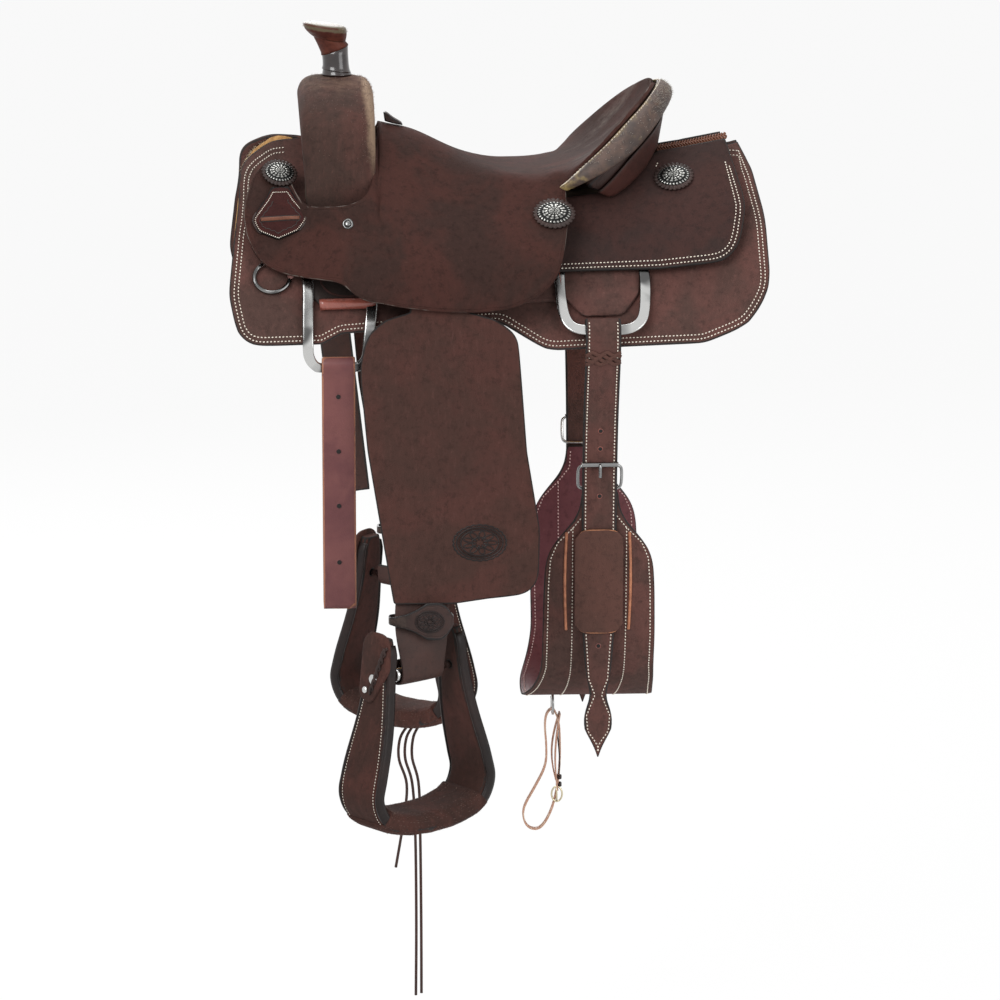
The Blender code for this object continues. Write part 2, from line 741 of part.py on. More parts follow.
def dee_out(x, height, side):
    """Outward direction of the rigging dees' layer."""
    down = dee_place(x, height - 0.002, 0.0, side) - dee_place(x, height + 0.002, 0.0, side)
    out = down.cross(Vector((1, 0, 0))).normalized()
    return out if out.y * side > 0 else -out


def dee_ring(name, knots, wide, side, material):
    """Flat steel dee that follows the back's curve, closed by its straight upper bar."""
    count = len(knots)
    path, outs = [], []
    for i in range(count):
        around = [knots[(i + k) % count] for k in (-1, 0, 1, 2)]
        for t in (1 / 3, 1 / 2):
            x, height = smooth_at(around, t)
            path.append(dee_place(x, height, DEE_THICK / 2, side))
            outs.append(dee_out(x, height, side))
    return put(name, sweep(path, outs, section(wide, DEE_THICK, 0.3), closed=True), material, smooth=True)


def build_rigging(leather, steel, strap_leather):
    front = [(-0.262, 0.002, 0.01), (-0.268, -0.050, 0.02), (-0.240, -0.082, 0.01), (-0.180, -0.082, 0.01),
             (-0.120, -0.060, 0.03), (-0.100, -0.022, 0.01)]
    rear = [(0.000, -0.034, 0.01), (0.008, -0.083, 0.012), (0.078, -0.078, 0.006), (0.098, -0.098, 0.016),
            (0.150, -0.096, 0.02), (0.172, -0.070, 0.02), (0.176, -0.026, 0.01), (0.09, -0.026, 0.02)]
    for word, side in SIDES:
        layer(f"front_rigging_{word}", fillet(front), RIG_THICK, RIG_LIFT, side, strap_leather)
        layer(f"rear_rigging_{word}", fillet(rear), RIG_THICK, RIG_LIFT, side, leather)
        dee_ring(f"front_dee_{word}", FRONT_DEE, 0.014, side, steel)
        dee_ring(f"rear_dee_{word}", REAR_DEE, 0.014, side, steel)


BREAST_DEE = (-0.304, -0.021)


def build_breast_dees(steel):
    """Round-wire dees for the breast collar, hung below the front jockeys."""
    lift = SKIRT_THICK + 0.0035
    for word, side in SIDES:
        path, outs = [], []
        for i in range(20):
            turn = 2 * math.pi * i / 20
            x = BREAST_DEE[0] + 0.0235 * math.cos(turn)
            height = BREAST_DEE[1] - 0.020 + 0.0185 * math.sin(turn)
            path.append(draped(x, height, lift, 0.0, side))
            outs.append(outward(x, height, lift, side))
        put(f"breast_dee_{word}", sweep(path, outs, round_bar(0.0028), closed=True), steel, smooth=True)


# Trim on the jockeys


def concho(name, lift, x, height, side, radius, material):
    """Domed concho on its leather rosette, lying square to the layer under it."""
    centre, out, along = surface_frame(lift, x, height, side)
    up = out.cross(along).normalized()
    rings = []
    for share, rise in ((1.0, 0.0), (1.0, 0.003), (0.72, 0.0035), (0.70, 0.005), (0.50, 0.0066), (0.22, 0.0075)):
        ring = []
        for k in range(16):
            turn = 2 * math.pi * k / 16
            flat = along * (1.08 * math.cos(turn)) + up * math.sin(turn)
            ring.append(centre + flat * (radius * share) + out * rise)
        rings.append(ring)
    return put(name, loft(rings), material, smooth=True)


PATCH_THICK = 0.003
CONCHO_SEAT = 0.0016


def build_trim(patch_leather, silver, rubber):
    """Slotted keyhole patches, conchos and the tab behind the swell."""
    patch = fillet([
        (-0.302, 0.058, 0.004), (-0.283, 0.058, 0.004), (-0.276, 0.050, 0.01), (-0.258, 0.034, 0.014),
        (-0.272, 0.018, 0.012), (-0.295, 0.009, 0.004), (-0.318, 0.018, 0.012), (-0.326, 0.032, 0.012),
        (-0.308, 0.050, 0.01),
    ])

    def on_jockey(x, height):
        return lift_jockey(x, height) + GAP

    def concho_on_jockey(x, height):
        return lift_jockey(x, height) + FIT

    def concho_on_wing(x, height):
        return lift_jockey(x, height) + 2 * CONCHO_SEAT

    def concho_on_housing(x, height):
        return lift_housing(x, height) + HOUSING_THICK + GAP

    for word, side in SIDES:
        layer(f"keyhole_patch_{word}", patch, PATCH_THICK, on_jockey, side, patch_leather)
        concho(f"front_concho_{word}", concho_on_wing, -0.2930, 0.083, side, 0.0225, silver)
        concho(f"seat_concho_{word}", concho_on_jockey, 0.062, 0.034, side, 0.026, silver)
        concho(f"rear_concho_{word}", concho_on_housing, 0.224, 0.070, side, 0.025, silver)
    build_tab(rubber)


TAB_PROFILE = (
    (-0.1530, 0.1368), (-0.1545, 0.1490), (-0.1490, 0.1475), (-0.1420, 0.1405), (-0.1300, 0.1345),
    (-0.1290, 0.1313), (-0.1410, 0.1330),
)


def build_tab(material):
    """Small leather tab that stands up behind the swell, screwed to the crown of the seat."""
    rings = [[Vector((x, y, z)) for x, z in TAB_PROFILE] for y in (-0.009, 0.009)]
    put("swell_tab", loft(rings), material)


# Fenders and stirrups

PIVOT_X, PIVOT_Z = -0.090, -0.083
TOP_RADIUS = 0.038
FENDER_ACROSS = 0.2187
FENDER_LEAN = math.tan(math.radians(8.0))
FENDER_THICK = 0.0045


def fender_across(height):
    """Distance of the fender's inner face from the middle plane."""
    return FENDER_ACROSS + (PIVOT_Z - height) * FENDER_LEAN


def fender_place(side):
    def place(x, height, above):
        return Vector((x, side * (fender_across(height) + above), height))

    return place


STIRRUP_X, STIRRUP_Y = -0.122, 0.2720
BOLT_Z = -0.545
STIRRUP_YAW = math.radians(38.0)


def stirrup_point(side, u, d, z):
    """Place in the stirrup: u across it, d through its depth, turned outward at the front."""
    c, s = math.cos(STIRRUP_YAW), math.sin(STIRRUP_YAW)
    return Vector((STIRRUP_X + u * c + d * s, side * (STIRRUP_Y - u * s + d * c), z))


LEATHER_WIDE = 0.070
LOOP_RADIUS = 0.0125
HOBBLE_Z = -0.4760
HOBBLE_SLACK = 0.0140


def build_fender(word, side, roughout, plain, dark):
    """Fender, the stirrup leather behind it that loops round the bolt, and the hobble strap."""
    top = []
    for k in range(9):
        turn = math.pi * k / 8
        top.append((PIVOT_X - TOP_RADIUS * math.cos(turn), PIVOT_Z + TOP_RADIUS * math.sin(turn), 0.0))
    outline = fillet(top + [
        (-0.020, -0.092, 0.02), (0.012, -0.112, 0.05), (0.022, -0.262, 0.15), (0.038, -0.360, 0.08),
        (0.036, -0.444, 0.070), (-0.030, -0.450, 0.04), (-0.074, -0.456, 0.006), (-0.152, -0.456, 0.006),
        (-0.184, -0.260, 0.20), (-0.194, -0.150, 0.10), (-0.181, -0.108, 0.04), (-0.158, -0.092, 0.02),
    ])
    put(f"fender_{word}", blank(outline, FENDER_THICK, fender_place(side), 0.08, 0.09), roughout, smooth=True)
    path, outs = [], []
    for x, z in ((-0.092, -0.066), (-0.098, -0.200), (-0.105, -0.330), (-0.113, -0.440), (-0.1165, -0.478)):
        path.append(Vector((x, side * (fender_across(z) - 0.0034), z)))
        outs.append(Vector((0, side, 0)))
    c, s = math.cos(STIRRUP_YAW), math.sin(STIRRUP_YAW)
    facing = Vector((s, side * c, 0.0))
    loop_front = stirrup_point(side, 0.0, 0.0, BOLT_Z + 0.010) + facing * LOOP_RADIUS
    for part in (0.45, 1.0):
        path.append(path[4].lerp(loop_front, part))
        outs.append((Vector((0, side, 0)) * (1 - part) + facing * part).normalized())
    for k in range(9):
        turn = math.pi * k / 8
        out = facing * math.cos(turn) - Vector((0, 0, 1)) * math.sin(turn)
        path.append(stirrup_point(side, 0.0, 0.0, BOLT_Z) + out * LOOP_RADIUS)
        outs.append(out)
    path.append(stirrup_point(side, 0.0, 0.0, BOLT_Z + 0.016) - facing * LOOP_RADIUS)
    outs.append(-facing)
    put(f"stirrup_leather_{word}", sweep(path, outs, section(LEATHER_WIDE, 0.0045, 0.25)), plain, smooth=True)
    build_hobble(word, side, dark)


def build_hobble(word, side, dark):
    """Hobble strap round the leather just below the fender, with its oval end outside."""
    middle_x = -0.1165
    inner = fender_across(HOBBLE_Z + 0.010) - 0.0034 - 0.0055
    outer = fender_across(-0.450) + FENDER_THICK + HOBBLE_SLACK
    wide, middle_y, deep = 0.0410, (inner + outer) / 2, (outer - inner) / 2
    path, outs, shape = [], [], []
    for k in range(20):
        turn = 2 * math.pi * k / 20
        x = middle_x + wide * math.copysign(abs(math.cos(turn)) ** 0.4, math.cos(turn))
        y = side * (middle_y + deep * math.copysign(abs(math.sin(turn)) ** 0.4, math.sin(turn)))
        path.append(Vector((x, y, HOBBLE_Z)))
        outs.append(Vector((math.cos(turn) / wide, side * math.sin(turn) / deep, 0)).normalized())
        lobe = 0.5 + 0.5 * math.cos(min(abs(turn - math.pi * 0.42) * 2.4, math.pi))
        shape.append(section(0.016 + 0.022 * lobe, 0.0030, 0.25))
    put(f"hobble_strap_{word}", sweep(path, outs, shape, closed=True), dark, smooth=True)


def build_stirrup(word, side, leather, steel):
    knots = [
        (-0.0570, -0.492), (-0.0600, -0.530), (-0.0705, -0.600), (-0.0885, -0.668), (-0.0940, -0.700),
        (-0.0780, -0.728), (-0.0400, -0.741), (0.0, -0.744),
    ]
    half = smooth_curve(knots, 15)
    line = half + [Vector((-p.x, p.y)) for p in reversed(half[:-1])]
    path = [stirrup_point(side, p.x, 0.0, p.y) for p in line]
    outs, shape = [], []
    through = (stirrup_point(side, 0, 1, 0) - stirrup_point(side, 0, 0, 0)).normalized()
    for i, p in enumerate(line):
        along = path[min(i + 1, len(path) - 1)] - path[max(i - 1, 0)]
        outs.append(along.cross(through).normalized())
        low = ease(-0.52, -0.68, p.y)
        tread = ease(-0.70, -0.735, p.y)
        ear = 1 - 0.30 * ease(-0.515, -0.492, p.y)
        shape.append(section((0.044 + 0.032 * low) * ear, 0.015 + 0.007 * tread, 0.30))
    bow = put(f"stirrup_{word}", sweep(path, outs, shape), leather, smooth=True)
    a, b = stirrup_point(side, -0.085, 0, BOLT_Z), stirrup_point(side, 0.085, 0, BOLT_Z)
    hole = rod("bolt_cutter", a, b, 0.0045 + FIT, leather)
    cut(bow, hole)
    build_bolt(word, side, steel)


def rod(name, start, end, radius, material, sides=12):
    along = (end - start).normalized()
    out = Vector((0, 0, 1)) - along * along.z
    shape = round_bar(radius, sides)
    return put(name, sweep([start, end], [out.normalized()] * 2, shape), material, smooth=True)


def build_bolt(word, side, steel):
    """Round steel bolt that carries the stirrup, headed outside both ears, with its roller."""
    head, shank, roller = 0.0080, 0.0045, 0.0098
    half, grip = 0.0725, 0.0400
    stations = [(-half - 0.003, head - 0.001), (-half, head), (-half, shank), (-grip, shank), (-grip, roller)]
    stations += [(-u, radius) for u, radius in reversed(stations)]
    rings = []
    axis = (stirrup_point(side, 1, 0, 0) - stirrup_point(side, 0, 0, 0)).normalized()
    up = Vector((0, 0, 1))
    across = up.cross(axis)
    for u, radius in stations:
        centre = stirrup_point(side, u, 0, BOLT_Z)
        rings.append([centre + across * a + up * b for a, b in round_bar(radius, 12)])
    put(f"stirrup_bolt_{word}", loft(rings), steel, smooth=True)


# Cinch straps


WRAP = (
    (-0.0098, -0.0060), (-0.0098, 0.0040), (-0.0066, 0.0106), (0.0, 0.0136),
    (0.0066, 0.0106), (0.0098, 0.0040), (0.0098, -0.0060),
)


def wrap_round(x, height, side):
    """Strap centre line from inside over a dee's lower bar to the outside."""
    centre = dee_place(x, height, DEE_THICK / 2, side)
    out = dee_out(x, height, side)
    up = Vector((1, 0, 0)).cross(out)
    up = up if up.z > 0 else -up
    return [centre + out * a + up * b for a, b in WRAP]


def strap_outs(path):
    outs = []
    for i in range(len(path)):
        along = path[min(i + 1, len(path) - 1)] - path[max(i - 1, 0)]
        outs.append(along.cross(Vector((1, 0, 0))).normalized())
    return outs


LATIGO_X = -0.2200
LATIGO_BAR = -0.1570
OFF_LEAN = 0.115


def build_latigo(burgundy, brown):
    """Folded latigo on the near front dee and half-breed billet on the off one."""
    for name, side, low_z, material in (("latigo_near", -1, -0.474, burgundy), ("billet_off_front", 1, -0.405, brown)):
        bend = wrap_round(LATIGO_X, LATIGO_BAR, side)
        lean = OFF_LEAN if side == 1 else 0.0
        low = [(LATIGO_X + lean * (LATIGO_BAR - z), z) for z in (-0.190, -0.25, -0.36, low_z)]
        inner = [Vector((x, bend[0].y, z)) for x, z in reversed(low)]
        outer = [Vector((x, bend[-1].y, z)) for x, z in low]
        path = inner + bend + outer
        put(name, sweep(path, strap_outs(path), section(0.0430, STRAP_THICK, 0.25)), material, smooth=True)


BUCKLE_Z = -0.3140
BUCKLE_HALF = 0.0175
FLANK_X = 0.1225
REAR_BAR = -0.1105
BILLET_ACROSS = FLANK_ACROSS - 0.03538
STRAP_THICK = 0.0045
BUCKLE_WIRE = 0.0023


BILLET_TAIL = (
    (0.0710, -0.128), (0.0675, -0.142), (0.0610, -0.160), (0.0390, -0.205), (0.0220, -0.260),
    (0.0134, -0.305), (0.0114, -0.335), (0.0080, -0.385), (0.0056, -0.420), (0.0002, -0.500), (0.0, -0.590),
    (0.0, -0.612), (0.0, -0.640), (0.0, -0.665), (0.0, -0.692),
)
BILLET_WIDTHS = ((-0.692, 0.012), (-0.665, 0.036), (-0.640, 0.040), (-0.612, 0.018), (-0.590, 0.034), (-0.500, 0.046))


def build_flank(roughout, steel, keeper):
    """Flank billets from the rear dees through their buckles to their tips, and the cinch between them."""
    for word, side in SIDES:
        path = wrap_round(FLANK_X, REAR_BAR, side)
        path += [Vector((FLANK_X, side * (BILLET_ACROSS + a), z)) for a, z in BILLET_TAIL]
        shape = [section(value_at(BILLET_WIDTHS, p.z), 0.0045, 0.25) for p in path]
        put(f"flank_billet_{word}", sweep(path, strap_outs(path), shape), roughout, smooth=True)
        build_buckle(word, side, steel)
    build_cinch(roughout, keeper)


def billet_rise(height):
    """Billet's centre line off BILLET_ACROSS at a height on its tail."""
    return value_at([(z, rise) for rise, z in reversed(BILLET_TAIL)], height)


def build_buckle(word, side, steel):
    """Roller buckle: its top bar outside the billet, its lower bar inside, where the cinch holds it."""
    reach = STRAP_THICK / 2 + BUCKLE_WIRE + 0.0005
    path, outs = [], []
    for k in range(20):
        turn = 2 * math.pi * k / 20
        x = 0.0290 * math.copysign(abs(math.cos(turn)) ** 0.35, math.cos(turn))
        share = math.copysign(abs(math.sin(turn)) ** 0.35, math.sin(turn))
        height = BUCKLE_Z + BUCKLE_HALF * share
        across = BILLET_ACROSS + billet_rise(height) + reach * share
        path.append(Vector((FLANK_X + x, side * across, height)))
        outs.append(Vector((math.cos(turn), 0, math.sin(turn))).normalized())
    put(f"flank_buckle_{word}", sweep(path, outs, round_bar(BUCKLE_WIRE, 8), closed=True), steel, smooth=True)


CINCH_HALF = (
    (0.0, 0.0240), (0.03, 0.026), (0.050, 0.042), (0.070, 0.062), (0.092, 0.071), (0.130, 0.0735), (0.200, 0.0745),
    (0.250, 0.0745), (0.300, 0.080), (0.345, 0.087), (0.400, 0.088),
)
CINCH_TOP = -0.335
CINCH_SIDE = BILLET_ACROSS - 0.0030
CINCH_TURN = -0.500


def cinch_place(s):
    """Place and outward direction on the cinch's near half, s from its buckle end."""
    straight = CINCH_TOP - CINCH_TURN
    if s < straight:
        y = 0.1560 + (CINCH_SIDE - 0.1560) * s / straight
        return Vector((0, -y, CINCH_TOP - s)), Vector((0, -1, 0))
    angle = (s - straight) / CINCH_SIDE
    out = Vector((0, -math.cos(angle), -math.sin(angle)))
    return Vector((0, 0, CINCH_TURN)) + out * CINCH_SIDE, out


def build_cinch(roughout, keeper_leather):
    """Broad flank cinch, one band from buckle to buckle, and the keeper panel on its near side."""
    end = CINCH_TOP - CINCH_TURN + CINCH_SIDE * math.pi / 2
    rings = []
    for i in range(41):
        s = end * i / 20
        far = s > end
        part = 2 * end - s if far else s
        spot, out = cinch_place(part)
        if far:
            spot = Vector((0, -spot.y, spot.z))
            out = Vector((0, -out.y, out.z))
        half = value_at(CINCH_HALF, part)
        lean = -0.008 * ease(0.25, 0.36, part)
        middle = FLANK_X + 0.001 + lean
        rings.append([
            Vector((middle - half, 0, 0)) + spot + out * -0.0035, Vector((middle - half, 0, 0)) + spot,
            Vector((middle, 0, 0)) + spot, Vector((middle + half, 0, 0)) + spot,
            Vector((middle + half, 0, 0)) + spot + out * -0.0035, Vector((middle, 0, 0)) + spot + out * -0.0035,
        ])
    put("flank_cinch", loft(rings), roughout, smooth=True)
    path = [Vector((FLANK_X, -(BILLET_ACROSS + d), z)) for d, z in (
        (0.0124, -0.385), (0.0100, -0.42), (0.0068, -0.47), (0.0046, -0.50), (0.0044, -0.527))]
    mesh = sweep(path, [Vector((0, -1, 0))] * len(path), section(0.064, 0.0030, 0.25))
    put("cinch_keeper", mesh, keeper_leather, smooth=True)


CONNECT_X = 0.0715
SNAP_WIRE = 0.0018
SNAP_HALF_Y, SNAP_HALF_Z = 0.0105, 0.0145
CINCH_FLOOR = CINCH_TURN - CINCH_SIDE
SNAP_Z = CINCH_FLOOR - FIT - SNAP_WIRE - SNAP_HALF_Z
TIE_THICK = 0.0026
TIE_WIDE = 0.0086
SNAP_CURVE = 0.0064
STRAP_LOOP = (
    (0.000, 0.0), (-0.008, -0.008), (-0.0105, -0.026), (-0.0085, -0.053), (-0.0100, -0.082), (-0.0250, -0.113),
    (-0.0400, -0.143), (-0.0350, -0.166), (-0.0180, -0.170), (-0.0040, -0.150), (0.0050, -0.120),
    (0.0095, -0.083), (0.0100, -0.048), (0.0080, -0.018), (0.000, 0.0),
)


def build_connector(steel, tan):
    """Snap under the cinch and the buckled strap that ties it to the front cinch."""
    path, outs = [], []
    for k in range(20):
        turn = 2 * math.pi * k / 20
        around = Vector((0.0, SNAP_HALF_Y * math.cos(turn), SNAP_HALF_Z * math.sin(turn)))
        path.append(Vector((CONNECT_X, 0.0, SNAP_Z)) + around)
        outs.append(Vector((0.0, math.cos(turn), math.sin(turn))))
    put("connector_snap", sweep(path, outs, round_bar(SNAP_WIRE, 6), closed=True), steel, smooth=True)
    top = SNAP_Z - SNAP_HALF_Z + SNAP_WIRE + TIE_THICK / 2 + SNAP_CURVE
    line = smooth_curve(STRAP_LOOP, 37)[:-1]
    path = [Vector((CONNECT_X + p.x, 0.0, top + p.y)) for p in line]
    outs = []
    for i in range(len(path)):
        along = path[(i + 1) % len(path)] - path[i - 1]
        outs.append(along.cross(Vector((0, 1, 0))).normalized())
    thin = TIE_THICK / 2
    half = TIE_WIDE / 2
    flat = [(-half, -thin), (half, -thin), (half, thin), (-half, thin)]
    put("connector_strap", sweep(path, outs, flat, closed=True), tan, smooth=True)


# Free strings on the off stirrup

STRINGS = (
    ("string_long_front", (
        (-0.107, 0.2850, -0.7557), (-0.107, 0.2850, -0.762), (-0.118, 0.2850, -0.782), (-0.120, 0.2850, -0.812),
        (-0.110, 0.2850, -0.850), (-0.106, 0.2850, -0.923), (-0.105, 0.2850, -1.052), (-0.106, 0.2850, -1.164),
    )),
    ("string_long_rear", (
        (-0.099, 0.2850, -0.7557), (-0.099, 0.2850, -0.762), (-0.108, 0.2890, -0.782), (-0.110, 0.2890, -0.812),
        (-0.101, 0.2850, -0.850), (-0.099, 0.2850, -0.923), (-0.098, 0.2850, -1.052), (-0.098, 0.2850, -1.161),
    )),
    ("string_short", (
        (-0.115, 0.2850, -0.7557), (-0.115, 0.2850, -0.762), (-0.127, 0.2830, -0.782), (-0.129, 0.2830, -0.812),
        (-0.118, 0.2840, -0.850), (-0.122, 0.2850, -0.900), (-0.134, 0.2850, -0.973),
    )),
)
STRING_RADIUS = 0.0020
STRING_POINTS = 40


def build_strings(dark):
    """Hanging strings, each a round tube along a smooth line."""
    for name, knots in STRINGS:
        line = bpy.data.curves.new(name, "CURVE")
        line.dimensions = "3D"
        line.bevel_depth = STRING_RADIUS
        line.bevel_resolution = 2
        line.use_fill_caps = True
        spline = line.splines.new("POLY")
        spline.points.add(STRING_POINTS - 1)
        for point, place in zip(spline.points, smooth_curve(knots, STRING_POINTS)):
            point.co = (*place, 1.0)
        line.materials.append(dark)
        bpy.data.collections[COLLECTION].objects.link(bpy.data.objects.new(name, line))


# Origins of the moving pieces


def hang(names, pivot):
    """Puts the origins of the named pieces on their joint, their shapes unmoved."""
    for name in names:
        item = bpy.data.objects[name]
        item.data.transform(Matrix.Translation(-pivot))
        item.location = pivot


def hang_moving_pieces():
    for word, side in SIDES:
        fender_set = (f"fender_{word}", f"stirrup_leather_{word}", f"hobble_strap_{word}", f"stirrup_bolt_{word}")
        hang(fender_set, Vector((PIVOT_X, side * FENDER_ACROSS, PIVOT_Z)))
        hang((f"stirrup_{word}",), stirrup_point(side, 0.0, 0.0, BOLT_Z))
        top = BREAST_DEE[1] - 0.0015
        hang((f"breast_dee_{word}",), draped(BREAST_DEE[0], top, SKIRT_THICK + 0.0035, 0.0, side))
        hang((f"flank_billet_{word}", f"flank_buckle_{word}"), Vector((FLANK_X, 0.0, REAR_BAR)))
    hang([name for name, knots in STRINGS], stirrup_point(1, 0.0, 0.0, BOLT_Z))
    hang(("latigo_near",), dee_place(LATIGO_X, LATIGO_BAR, DEE_THICK / 2, -1))
    hang(("billet_off_front",), dee_place(LATIGO_X, LATIGO_BAR, DEE_THICK / 2, 1))
    hang(("flank_cinch", "cinch_keeper"), Vector((FLANK_X, 0.0, REAR_BAR)))
    hang(("connector_snap",), Vector((CONNECT_X, 0.0, SNAP_Z + SNAP_HALF_Z)))
    hang(("connector_strap",), Vector((CONNECT_X, 0.0, SNAP_Z - SNAP_HALF_Z)))


def main():
    clear_scene()
    new_collection(COLLECTION)
    wood = new_material("tree_wood", (0.42, 0.30, 0.19), roughness=0.7)
    jockey = new_material("jockey_leather", (0.075, 0.042, 0.034), roughness=0.75)
    roughout = new_material("roughout_leather", (0.090, 0.048, 0.038), roughness=0.85)
    plain = new_material("dark_leather", (0.070, 0.040, 0.032), roughness=0.6)
    worn = new_material("worn_leather", (0.150, 0.100, 0.055), roughness=0.5)
    burgundy = new_material("burgundy_leather", (0.150, 0.045, 0.045), roughness=0.45)
    fleece = new_material("fleece", (0.62, 0.50, 0.34), roughness=0.95)
    buff = new_material("horn_rawhide", (0.34, 0.26, 0.17), roughness=0.5)
    rubber = new_material("black_rubber", (0.018, 0.016, 0.016), roughness=0.35)
    tan = new_material("tan_leather", (0.42, 0.24, 0.14), roughness=0.55)
    steel = new_material("stainless", (0.62, 0.62, 0.60), metallic=1.0, roughness=0.25)
    silver = new_material("black_silver", (0.20, 0.20, 0.19), metallic=1.0, roughness=0.4)
    build_bars(wood)
    build_fork(wood, roughout)
    build_horn(steel, buff, rubber)
    build_seat(jockey, plain)
    build_cantle(wood, jockey, worn)
    build_skirts(roughout, fleece, jockey)
    build_rigging(roughout, steel, burgundy)
    build_breast_dees(steel)
    build_trim(plain, silver, rubber)
    for word, side in SIDES:
        build_fender(word, side, roughout, plain, plain)
        build_stirrup(word, side, roughout, steel)
    build_latigo(burgundy, plain)
    build_flank(roughout, steel, plain)
    build_connector(steel, tan)
    build_strings(plain)
    hang_moving_pieces()
    bpy.context.view_layer.update()


main()
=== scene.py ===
"""Team roping saddle: every leather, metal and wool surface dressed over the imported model.

Metres. The horse's head is at -X, the near (left) side is -Y and +Z is up.
"""

import json
import logging
import math
from dataclasses import dataclass
from enum import Enum
from typing import Any, Callable, Iterable, Optional, Sequence, Union

import bmesh
import bpy
import numpy as np
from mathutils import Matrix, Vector, noise
from mathutils.bvhtree import BVHTree
from mathutils.kdtree import KDTree

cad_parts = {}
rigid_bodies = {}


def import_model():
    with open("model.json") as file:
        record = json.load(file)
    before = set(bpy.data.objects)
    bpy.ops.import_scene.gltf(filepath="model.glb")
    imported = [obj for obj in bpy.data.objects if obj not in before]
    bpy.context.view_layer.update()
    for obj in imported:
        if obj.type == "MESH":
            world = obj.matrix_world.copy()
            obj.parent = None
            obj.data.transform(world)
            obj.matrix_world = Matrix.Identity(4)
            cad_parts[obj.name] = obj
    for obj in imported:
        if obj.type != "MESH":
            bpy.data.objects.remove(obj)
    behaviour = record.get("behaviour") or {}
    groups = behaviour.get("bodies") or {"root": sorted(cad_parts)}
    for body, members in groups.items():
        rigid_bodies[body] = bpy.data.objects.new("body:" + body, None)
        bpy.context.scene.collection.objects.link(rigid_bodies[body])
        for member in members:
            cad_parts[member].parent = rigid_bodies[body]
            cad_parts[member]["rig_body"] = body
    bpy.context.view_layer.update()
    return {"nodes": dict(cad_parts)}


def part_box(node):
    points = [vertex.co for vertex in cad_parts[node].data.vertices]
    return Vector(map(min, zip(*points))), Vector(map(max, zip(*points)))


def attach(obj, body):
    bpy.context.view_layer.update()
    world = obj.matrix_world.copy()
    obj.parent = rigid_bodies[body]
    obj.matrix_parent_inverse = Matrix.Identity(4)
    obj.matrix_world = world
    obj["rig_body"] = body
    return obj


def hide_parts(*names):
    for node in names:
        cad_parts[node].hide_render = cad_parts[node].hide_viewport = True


for startup_item in list(bpy.data.objects):
    bpy.data.objects.remove(startup_item)

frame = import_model()

log = logging.getLogger("saddle")

Colour = tuple[float, float, float]
Flat = tuple[float, float]
Spot = tuple[Vector, Vector]
Knot = tuple[float, float, float]
Operand = Union["Value", float]

# A ray in side view starts this far from the middle plane, clear of every piece.
CLEAR = 0.7
REARWARD = Vector((1, 0, 0))


def clamp(value: float) -> float:
    """The value, held between 0 and 1."""
    return min(max(value, 0.0), 1.0)


def ramp(value: float, start: float, end: float) -> float:
    """Straight step from 0 at start to 1 at end, which may lie below start."""
    return clamp((value - start) / (end - start))


def eased(value: float) -> float:
    """Smooth step from 0 at 0 to 1 at 1."""
    share = clamp(value)
    return share * share * (3 - 2 * share)


def circle(count: int) -> list[Flat]:
    """Evenly spaced points of a circle of radius 1."""
    return [(math.cos(2 * math.pi * k / count), math.sin(2 * math.pi * k / count)) for k in range(count)]


def slab(half: float, thin: float) -> list[Flat]:
    """Section of a flat bar, by half its width and half its thickness."""
    return [(-half, -thin), (half, -thin), (half, thin), (-half, thin)]


class Side(Enum):
    """The rider's left is the near side and the right is the off side."""

    NEAR = -1
    OFF = 1

    @property
    def word(self) -> str:
        """Word that the side has in the names of the pieces."""
        return self.name.lower()

    def point(self, x: float, across: float, z: float) -> Vector:
        """Point that lies a distance across from the middle plane on this side."""
        return Vector((x, self.value * across, z))


# Shaders


class Value:
    """A shader socket that takes part in Python expressions by adding Math nodes."""

    def __init__(self, graph: "Graph", socket: bpy.types.NodeSocket) -> None:
        """Keeps the socket and the graph that it belongs to."""
        self.graph = graph
        self.socket = socket

    def _math(self, operation: str, first: Operand, second: Operand) -> "Value":
        """One Math node on two operands."""
        return self.graph.node("ShaderNodeMath", {"operation": operation}, {0: first, 1: second})

    def __add__(self, other: Operand) -> "Value":
        """Sum."""
        return self._math("ADD", self, other)

    __radd__ = __add__

    def __sub__(self, other: Operand) -> "Value":
        """Difference."""
        return self._math("SUBTRACT", self, other)

    def __rsub__(self, other: Operand) -> "Value":
        """Difference with the plain number first."""
        return self._math("SUBTRACT", other, self)

    def __mul__(self, other: Operand) -> "Value":
        """Product."""
        return self._math("MULTIPLY", self, other)

    def step(self, low: float, high: float) -> "Value":
        """Smooth step from 0 at low to 1 at high.

        Args:
            low: value at which the step starts.
            high: value at which it is complete.

        Returns:
            The stepped value.
        """
        return self.graph.node(
            "ShaderNodeMapRange",
            {"interpolation_type": "SMOOTHSTEP"},
            {"Value": self, "From Min": low, "From Max": high, "To Min": 0.0, "To Max": 1.0},
        )


